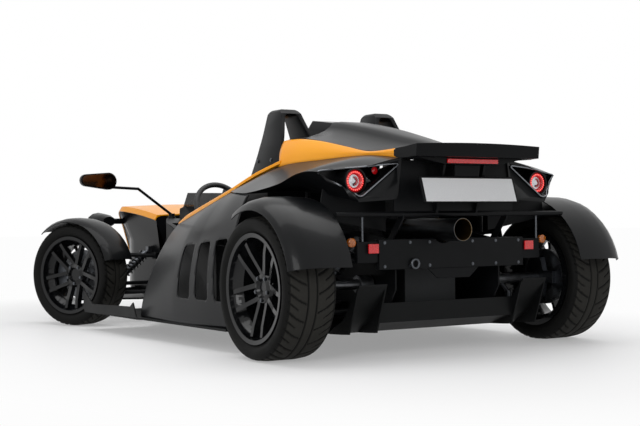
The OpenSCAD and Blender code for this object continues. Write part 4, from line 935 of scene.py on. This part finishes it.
# Engine cover with its snorkel, spoiler and fenders: black mouldings screwed to
# the tail and, in front, to the knuckles; the spoiler's keel takes the stop lamp.
from_cad("engine_cover", satin, sharp=40.0)
spoiler_rows = []
for y in np.linspace(353, -353, 57):
    k = abs(y) / 353
    z_lip, back = mix(954, 946, k ** 2), mix(446, 438, k ** 2)
    under = mix(862, 889, min(1, max(0, (k - 0.45) / 0.4)))
    front_a = mix(-160, -266, min(1, max(0, (k - 0.72) / 0.16)))
    section = ((front_a, 926), (min(front_a - 4, -280), 934), (-350, 938), (-back, z_lip), (6 - back, 892),
               (-382, 890), (-382, under), (-300, under), (front_a, 900), (front_a, 926))
    spoiler_rows.append([(a, y, z) for a, z in section])
spoiler = made("moulded_spoiler", *loft(spoiler_rows), satin, sharp=25.0, edge=2.0)
hand_over(spoiler, "chassis", "satin_black", "rear_spoiler")
for node in ("rear_fenders", "front_fender_left", "front_fender_right"):
    from_cad(node, gloss, sharp=38.0, edge=0.0025)

# Roll hoops: two towers of bent steel plate behind the seats, painted satin
# black and bolted to the tub's rear box through their outer legs.

# Satin paint on steel plate: black with soft highlights on the bends.
hoop_paint, tree, shader, place = begin("satin_hoop_paint", Specular_IOR_Level=0.08,
                                        Coat_Weight=0.06, Coat_Roughness=0.25)
peel = put(tree, "ShaderNodeTexNoise", {"Scale": 1 / 0.12, "Detail": 4.0}, {"Vector": place})
tone = put(tree, "ShaderNodeValToRGB", {}, {0: peel.outputs["Fac"]})
tone.color_ramp.elements[0].color = linear("#0b0c0d")
tone.color_ramp.elements[1].color = linear("#131416")
tree.links.new(tone.outputs[0], shader.inputs["Base Color"])
matting = put(tree, "ShaderNodeMapRange", {"To Min": 0.3, "To Max": 0.44}, {"Value": peel.outputs["Fac"]})
tree.links.new(matting.outputs[0], shader.inputs["Roughness"])
hoop_y, hoop_crown = 294, 1195.5
rear_edge, front_edge = ((0, 700), (0.44, 646), (0.94, 724)), ((0, 940), (0.515, 872), (0.94, 864))
hoop_side = [(along(rear_edge, t)[1], 800 + 396 * t) for t in np.linspace(0, 0.94, 20)]
hoop_side += [(along(rear_edge, 1)[1] + 24, hoop_crown), (along(front_edge, 1)[1] - 24, hoop_crown)]
hoop_side += [(along(front_edge, t)[1], 800 + 396 * t) for t in np.linspace(0.94, 0, 20)]


def tower(inset, top, foot):
    w = [h - inset for h in (147, 106, 60)]
    r = 24 + inset / 2
    half = [(w[0], foot), (w[1], 1004)]
    half += [(w[2] - r + r * math.cos(a), top - r + r * math.sin(a)) for a in np.radians(np.linspace(12, 90, 8))]
    return half + [(-y, z) for y, z in reversed(half)]


for s, name in sides:
    hoop = made("hoop_tower_" + name, *prism(hoop_side, 1, 120, 480), hoop_paint, s)
    outline = [(hoop_y + y, z) for y, z in tower(0, hoop_crown, 780)]
    window = [(hoop_y + y, z) for y, z in tower(16, 1172, 770)]
    outside = made("hoop_outside", *prism(outline, 0, 500, 1100), hoop_paint, s)
    inside = made("hoop_window", *prism(window, 0, 480, 1120), hoop_paint, s)
    cut(hoop, "INTERSECT", outside)
    cut(hoop, "DIFFERENCE", inside)
    soften(hoop, 0.003, 32.0)
    hand_over(hoop, "chassis", "hoop_paint", *(("roll_hoops",) if s == 1 else ()))
    spots = [Vector((rear_axle_x + a / 1000, s * (hoop_y + 147 - 41 * (z - 800) / 204 + 0.5) / 1000, z / 1000))
             for a, z in ((745, 842), (890, 842), (728, 930), (868, 930))]
    bolts = heads("hoop_bolts_" + name, spots, (0, s, 0.2), alloy, 0.0065, 0.007)
    hand_over(bolts, "chassis", "bare_metal")

# Rear panel: a folded crash plate across the tail with set-back wings, a flap
# under it, a tow eye and two rods, and dark guard plates bolted in the tail
# behind the number plate and under the pods.
notch_r = 60
notch = [(tip_y + notch_r * math.cos(a), tip_z + notch_r * math.sin(a))
         for a in np.radians(np.linspace(318.2, 221.8, 15))]
main_plate = [(-420, 392), (420, 392), (420, 528)] + notch + [(-420, 528)]
wing = [(405, 424), (531, 424), (531, 520), (405, 520)]
flap = [(-150, 393), (-95, 345), (95, 345), (150, 393)]
blocks = [prism(main_plate, 0, -240, -208), prism(flap, 0, -236, -228)]
blocks += [prism([(s * y, z) for y, z in wing], 0, -232, -206) for s in (1, -1)]
panel = made("folded_rear_panel", *joined(*blocks), coat, edge=3.0)
hand_over(panel, "chassis", "satin_black", "rear_panel")
liners = [prism([(-345, 652), (345, 652), (345, 884), (-345, 884)], 0, -253, -247)]
liners += [prism([(s * 300, 560), (s * 665, 625), (s * 640, 755), (s * 300, 800)], 0, -124, -118) for s in (1, -1)]
guard = made("engine_bay_guard", *joined(*liners), coat, edge=1.5)
hand_over(guard, "chassis", "dark_metal")
eye_r = 0.020
eye_ring = [Vector((rear_axle_x - 0.252, 0.23 + eye_r * math.cos(a), 0.416 + eye_r * math.sin(a)))
            for a in np.linspace(0, 2 * math.pi, 33)]
rods, links = list(eye_ring), [(k, k + 1) for k in range(32)]
for s in (1, -1):
    rods += [Vector((rear_axle_x - 0.236, s * 0.507, z)) for z in (0.52, 0.64)]
    links.append((len(rods) - 2, len(rods) - 1))
fittings = grown("rods_and_tow_eye", rods, links, None, wire_tree, Thickness=0.0055, Sides=12, Finish=alloy)
hand_over(fittings, "chassis", "bare_metal")
edge_bolts = [Vector((rear_axle_x - 0.2405, y / 1000, z / 1000))
              for y in (-390, -250, -110, 140, 250, 390) for z in (407, 513)]
studs = heads("rear_panel_bolts", edge_bolts, (-1, 0, 0), alloy, 0.005, 0.005)
hand_over(studs, "chassis", "bare_metal")

# Plate holder and number plate: a tilted black bracket under the spoiler with
# a plain white sheet plate fixed to it.
from_cad("plate_holder", satin, edge=0.002)
# Reflective sheeting: even white with a fine beaded grain.
white_sheet, tree, shader, place = begin("reflective_white_sheet", Specular_IOR_Level=0.4)
beads = put(tree, "ShaderNodeTexVoronoi", {"Scale": 1 / 0.0015}, {"Vector": place})
tone = put(tree, "ShaderNodeValToRGB", {}, {0: beads.outputs["Distance"]})
tone.color_ramp.elements[0].color = linear("#e4e6e8")
tone.color_ramp.elements[1].color = linear("#f6f7f8")
tree.links.new(tone.outputs[0], shader.inputs["Base Color"])
matting = put(tree, "ShaderNodeMapRange", {"To Min": 0.35, "To Max": 0.5}, {"Value": beads.outputs["Distance"]})
tree.links.new(matting.outputs[0], shader.inputs["Roughness"])
from_cad("number_plate", white_sheet, edge=0.0006)

# Rear lamps: two round lamps in the pods, each a black bezel, a ring lens with
# a circle of red segments and a silvered middle, and one small lamp beside it;
# the stop lamp and the markers are single mouldings clipped to the tail.

# Moulded red plastic: small facets that give the lens its depth, and a faint painted glow in the plastic itself.
red, tree, shader, place = begin("red_moulded_lens", Roughness=0.08, Coat_Weight=0.5,
                                 Coat_Roughness=0.03, Emission_Strength=0.25)
facets = put(tree, "ShaderNodeTexVoronoi", {"Scale": 1 / 0.004}, {"Vector": place})
tone = put(tree, "ShaderNodeValToRGB", {}, {0: facets.outputs["Distance"]})
tone.color_ramp.elements[0].color = linear("#8c0a0f")
tone.color_ramp.elements[1].color = linear("#de141c")
tree.links.new(tone.outputs[0], shader.inputs["Base Color"])
tree.links.new(tone.outputs[0], shader.inputs["Emission Color"])
bump = put(tree, "ShaderNodeBump", {"Strength": 0.3, "Distance": 0.0008}, {"Height": facets.outputs["Distance"]})
tree.links.new(bump.outputs[0], shader.inputs["Normal"])
# A lit segment: bright red, a little uneven, as a lamp behind plastic is.
glow, tree, shader, place = begin("lit_red_segment", Emission_Strength=1.6)
spread = put(tree, "ShaderNodeTexNoise", {"Scale": 1 / 0.01}, {"Vector": place})
tone = put(tree, "ShaderNodeValToRGB", {}, {0: spread.outputs["Fac"]})
tone.color_ramp.elements[0].color = linear("#d8242a")
tone.color_ramp.elements[1].color = linear("#ff6a60")
tree.links.new(tone.outputs[0], shader.inputs["Base Color"])
tree.links.new(tone.outputs[0], shader.inputs["Emission Color"])
# Silvered plastic: bright facets that break up the reflection.
silver, tree, shader, place = begin("silvered_reflector", Metallic=1.0)
facets = put(tree, "ShaderNodeTexVoronoi", {"Scale": 1 / 0.006}, {"Vector": place})
tone = put(tree, "ShaderNodeValToRGB", {}, {0: facets.outputs["Distance"]})
tone.color_ramp.elements[0].color = linear("#9c9ea2")
tone.color_ramp.elements[1].color = linear("#d9dbdd")
tree.links.new(tone.outputs[0], shader.inputs["Base Color"])
matting = put(tree, "ShaderNodeMapRange", {"To Min": 0.12, "To Max": 0.25}, {"Value": facets.outputs["Distance"]})
tree.links.new(matting.outputs[0], shader.inputs["Roughness"])


def turned(profile, y, z, count=48):
    angles = np.linspace(0, 2 * math.pi, count, endpoint=False)
    spots = [(a, y + r * math.cos(t), z + r * math.sin(t)) for t in angles for a, r in profile]
    n = len(profile)
    faces = [(i * n + j, i * n + j + 1, (i + 1) % count * n + j + 1, (i + 1) % count * n + j)
             for i in range(count) for j in range(n - 1)]
    return spots, faces


lamp_y, lamp_z, small_y, small_z = 532, 788, 404, 837
bezels, lenses, middles, small_clear = [], [], [], []
for s in (1, -1):
    rim = [(recess_floor, 40), (recess_floor, 56), (-218, 58.5), (-228, 57), (-228, 51), (-212, 50),
           (recess_floor, 40)]
    bezels.append(turned(rim, s * lamp_y, lamp_z))
    ring = [(-212, 51), (-219, 49), (-223, 43), (-223, 37), (-219, 31), (-208, 29), (-205, 40), (-212, 51)]
    lenses.append(turned(ring, s * lamp_y, lamp_z))
    dish = [(-200, 0), (-203, 30), (-208, 30), (-206, 22), (-212, 14), (-216, 6), (-216.5, 0)]
    middles.append(turned(dish, s * lamp_y, lamp_z))
    collar = [(recess_floor, 14), (recess_floor, 18), (-190, 20), (-190, 17.5), (-184, 17), (recess_floor, 14)]
    bezels.append(turned(collar, s * small_y, small_z, 32))
    small = [(-180, 0), (-180, 17), (-184, 17.5), (-189, 15), (-191, 8), (-191.5, 0)]
    (lenses if s == 1 else small_clear).append(turned(small, s * small_y, small_z, 32))
hand_over(made("lamp_bezels", *joined(*bezels), gloss, sharp=40.0), "chassis", "gloss_black")
hand_over(made("lamp_ring_lenses", *joined(*lenses), red, sharp=60.0), "chassis", "red_lens", "tail_lamps")
hand_over(made("lamp_reflectors", *joined(*middles), silver, sharp=60.0), "chassis", "bare_metal")
hand_over(made("reversing_lens", *joined(*small_clear), clear, sharp=60.0), "chassis", "lamp_lens")
ring_r = 0.040
lit = [Vector((rear_axle_x - 0.2232, s * lamp_y / 1000 + ring_r * math.cos(a),
               lamp_z / 1000 + ring_r * math.sin(a)))
       for s in (1, -1) for a in np.linspace(0, 2 * math.pi, 24, endpoint=False)]
ring_segments = heads("lamp_segments", lit, (-1, 0, 0), glow, 0.0036, 0.0012, washer=0.5)
hand_over(ring_segments, "chassis", "red_lens")
fins = [prism([(s * 462, 776), (s * 424, 790), (s * 456, 812)], 0, -190, -186) for s in (1, -1)]
hand_over(made("lamp_fins", *joined(*fins), silver, edge=1.0), "chassis", "bare_metal")
from_cad("rear_markers", red, edge=0.002)
stop = made("stop_lamp", *prism([(-145, 866), (145, 866), (145, 885), (-145, 885)], 0, -390, -382), red, edge=1.5)
hand_over(stop, "chassis", "red_lens")
# Moulded amber plastic: small facets over a darker base.
amber, tree, shader, place = begin("amber_moulded_lens", Roughness=0.1, Coat_Weight=0.5, Coat_Roughness=0.03)
facets = put(tree, "ShaderNodeTexVoronoi", {"Scale": 1 / 0.004}, {"Vector": place})
tone = put(tree, "ShaderNodeValToRGB", {}, {0: facets.outputs["Distance"]})
tone.color_ramp.elements[0].color = linear("#8a3c05")
tone.color_ramp.elements[1].color = linear("#d9780f")
tree.links.new(tone.outputs[0], shader.inputs["Base Color"])
amber_cap = [(-200, 0), (-200, 8), (-214, 8), (-214, 20), (-230, 20), (-236, 14), (-238, 0)]
amber_rings = [turned(amber_cap, s * 556, 516, 32) for s in (1, -1)]
hand_over(made("amber_markers", *joined(*amber_rings), amber, sharp=40.0), "chassis", "red_lens")

# Seat pads: foam cushions in black cloth, glued to the seat shells, crowned by
# their filling and sewn across in channels.

# Woven black cloth, 1 mm threads drawn at 3 mm so that they show: dull, with a soft bloom.
cloth, tree, shader, place = begin("black_seat_cloth", Roughness=0.9, Sheen_Weight=0.4, Specular_IOR_Level=0.2)
weave = put(tree, "ShaderNodeTexChecker", {"Scale": 1 / 0.003, "Color1": linear("#1d1e20"),
                                           "Color2": linear("#121314")}, {"Vector": place})
fluff = put(tree, "ShaderNodeTexNoise", {"Scale": 1 / 0.05, "Detail": 4.0}, {"Vector": place})
tone = put(tree, "ShaderNodeMix", {"data_type": "RGBA", "blend_type": "MULTIPLY", 0: 0.4},
           {6: weave.outputs["Color"], 7: fluff.outputs["Color"]})
tree.links.new(tone.outputs[2], shader.inputs["Base Color"])
bump = put(tree, "ShaderNodeBump", {"Strength": 0.3, "Distance": 0.0006}, {"Height": weave.outputs["Fac"]})
tree.links.new(bump.outputs[0], shader.inputs["Normal"])
tuck, voxel, swell, frames = 0.004, 0.011, 0.009, 20
mesh = frame["nodes"]["seat_pads"].data.copy()
mesh.name = "stuffed_seat_pads"
mesh.materials.clear()
mesh.materials.append(cloth)
shape = bmesh.new()
shape.from_mesh(mesh)
bmesh.ops.remove_doubles(shape, verts=shape.verts, dist=1e-5)
bmesh.ops.recalc_face_normals(shape, faces=shape.faces)
shape.normal_update()
for v in shape.verts:
    v.co -= tuck * v.normal
shape.to_mesh(mesh)
shape.free()
pads = bpy.data.objects.new("stuffed_seat_pads", mesh)
bpy.context.scene.collection.objects.link(pads)

voxels = pads.modifiers.new("voxels", "REMESH")
voxels.mode, voxels.voxel_size = "VOXEL", voxel
settle(pads)
start = np.array([v.co for v in pads.data.vertices])
filling = pads.modifiers.new("filling", "CLOTH")
filling.settings.use_pressure = True
filling.settings.uniform_pressure_force = 4.0
filling.settings.effector_weights.gravity = 0.0
filling.settings.tension_stiffness = filling.settings.compression_stiffness = 12.0
filling.point_cache.frame_start, filling.point_cache.frame_end = 1, frames
for now in range(1, frames + 1):
    bpy.context.scene.frame_set(now)
settle(pads)
bpy.context.scene.frame_set(1)
end = np.array([v.co for v in pads.data.vertices])
way = end - start
far = np.linalg.norm(way, axis=1, keepdims=True)
capped = start + way * np.minimum(1, swell / np.maximum(far, 1e-9))
pads.data.vertices.foreach_set("co", capped.ravel())
finer = pads.modifiers.new("finer", "SUBSURF")
finer.levels = finer.render_levels = 1
settle(pads)
seat_y, pad_half, cushion_back, cushion_top = 0.268, 0.14, 1.215, 0.27
cushion_seam, back_seam = 1.24, 0.30
channel_pitch, channel_depth, channel_width = 0.075, 0.005, 0.008
shape = bmesh.new()
shape.from_mesh(pads.data)
shape.normal_update()
for v in shape.verts:
    a, z = v.co.x - rear_axle_x, v.co.z
    run = (a - cushion_seam) if a > cushion_back and z < cushion_top else (z - back_seam)
    beside = abs((run / channel_pitch) - round(run / channel_pitch)) * channel_pitch
    faces_out = v.normal.z > 0.55 or v.normal.x > 0.55
    if faces_out and abs(abs(v.co.y) - seat_y) < pad_half:
        v.co -= v.normal * channel_depth * math.exp(-(beside / channel_width) ** 2)
for f in shape.faces:
    f.smooth = True
shape.to_mesh(pads.data)
shape.free()
hand_over(pads, "chassis", "seat_cloth", "seat_pads")

# Steering wheel: a flat-bottomed rim in black grained leather on a dark hub,
# on its column behind the dashboard.

# Grained leather: matt black with fine pores.
leather, tree, shader, place = begin("grained_black_leather", Roughness=0.5, Specular_IOR_Level=0.4)
grain = put(tree, "ShaderNodeTexVoronoi", {"Scale": 1 / 0.002}, {"Vector": place})
tone = put(tree, "ShaderNodeValToRGB", {}, {0: grain.outputs["Distance"]})
tone.color_ramp.elements[0].color = linear("#0e0e0f")
tone.color_ramp.elements[1].color = linear("#1f2021")
tree.links.new(tone.outputs[0], shader.inputs["Base Color"])
bump = put(tree, "ShaderNodeBump", {"Strength": 0.25, "Distance": 0.0005}, {"Height": grain.outputs["Distance"]})
tree.links.new(bump.outputs[0], shader.inputs["Normal"])
from_cad("steering_wheel", leather, sharp=40.0)

# Wind deflector: a low band of smoke-tinted clear plastic, screwed along the
# cowl in front of the seats.

# Tinted sheet: dark but seen through, with clean reflections.
smoke, tree, shader, place = begin("smoke_tinted_plastic", Roughness=0.05, IOR=1.49)
haze = put(tree, "ShaderNodeTexNoise", {"Scale": 1 / 0.1, "Detail": 3.0}, {"Vector": place})
tone = put(tree, "ShaderNodeValToRGB", {}, {0: haze.outputs["Fac"]})
tone.color_ramp.elements[0].color = linear("#141517")
tone.color_ramp.elements[1].color = linear("#1f2124")
tree.links.new(tone.outputs[0], shader.inputs["Base Color"])
tint = put(tree, "ShaderNodeMapRange", {"To Min": 0.72, "To Max": 0.8}, {"Value": haze.outputs["Fac"]})
tree.links.new(tint.outputs[0], shader.inputs["Alpha"])
from_cad("wind_deflector", smoke, edge=0.001)

# Mirrors: satin black shells on thin arms from the tub's sides, with coated
# glass that shows a trace of amber.
from_cad("mirrors", satin, sharp=40.0)
# Coated glass: a dark mirror with a brown to amber cast.
coated, tree, shader, place = begin("amber_coated_mirror", Metallic=1.0)
wipe = put(tree, "ShaderNodeTexNoise", {"Scale": 1 / 0.08, "Detail": 3.0}, {"Vector": place})
tone = put(tree, "ShaderNodeValToRGB", {}, {0: wipe.outputs["Fac"]})
tone.color_ramp.elements[0].color = linear("#2a2320")
tone.color_ramp.elements[1].color = linear("#4a3524")
tree.links.new(tone.outputs[0], shader.inputs["Base Color"])
matting = put(tree, "ShaderNodeMapRange", {"To Min": 0.03, "To Max": 0.08}, {"Value": wipe.outputs["Fac"]})
tree.links.new(matting.outputs[0], shader.inputs["Roughness"])
from_cad("mirror_glass", coated, edge=0.001)

# Sizes of the part as drawn and as dressed, in metres.
size = {"cad": [list(v) for v in cad_box], "visual": [list(v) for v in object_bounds()]}
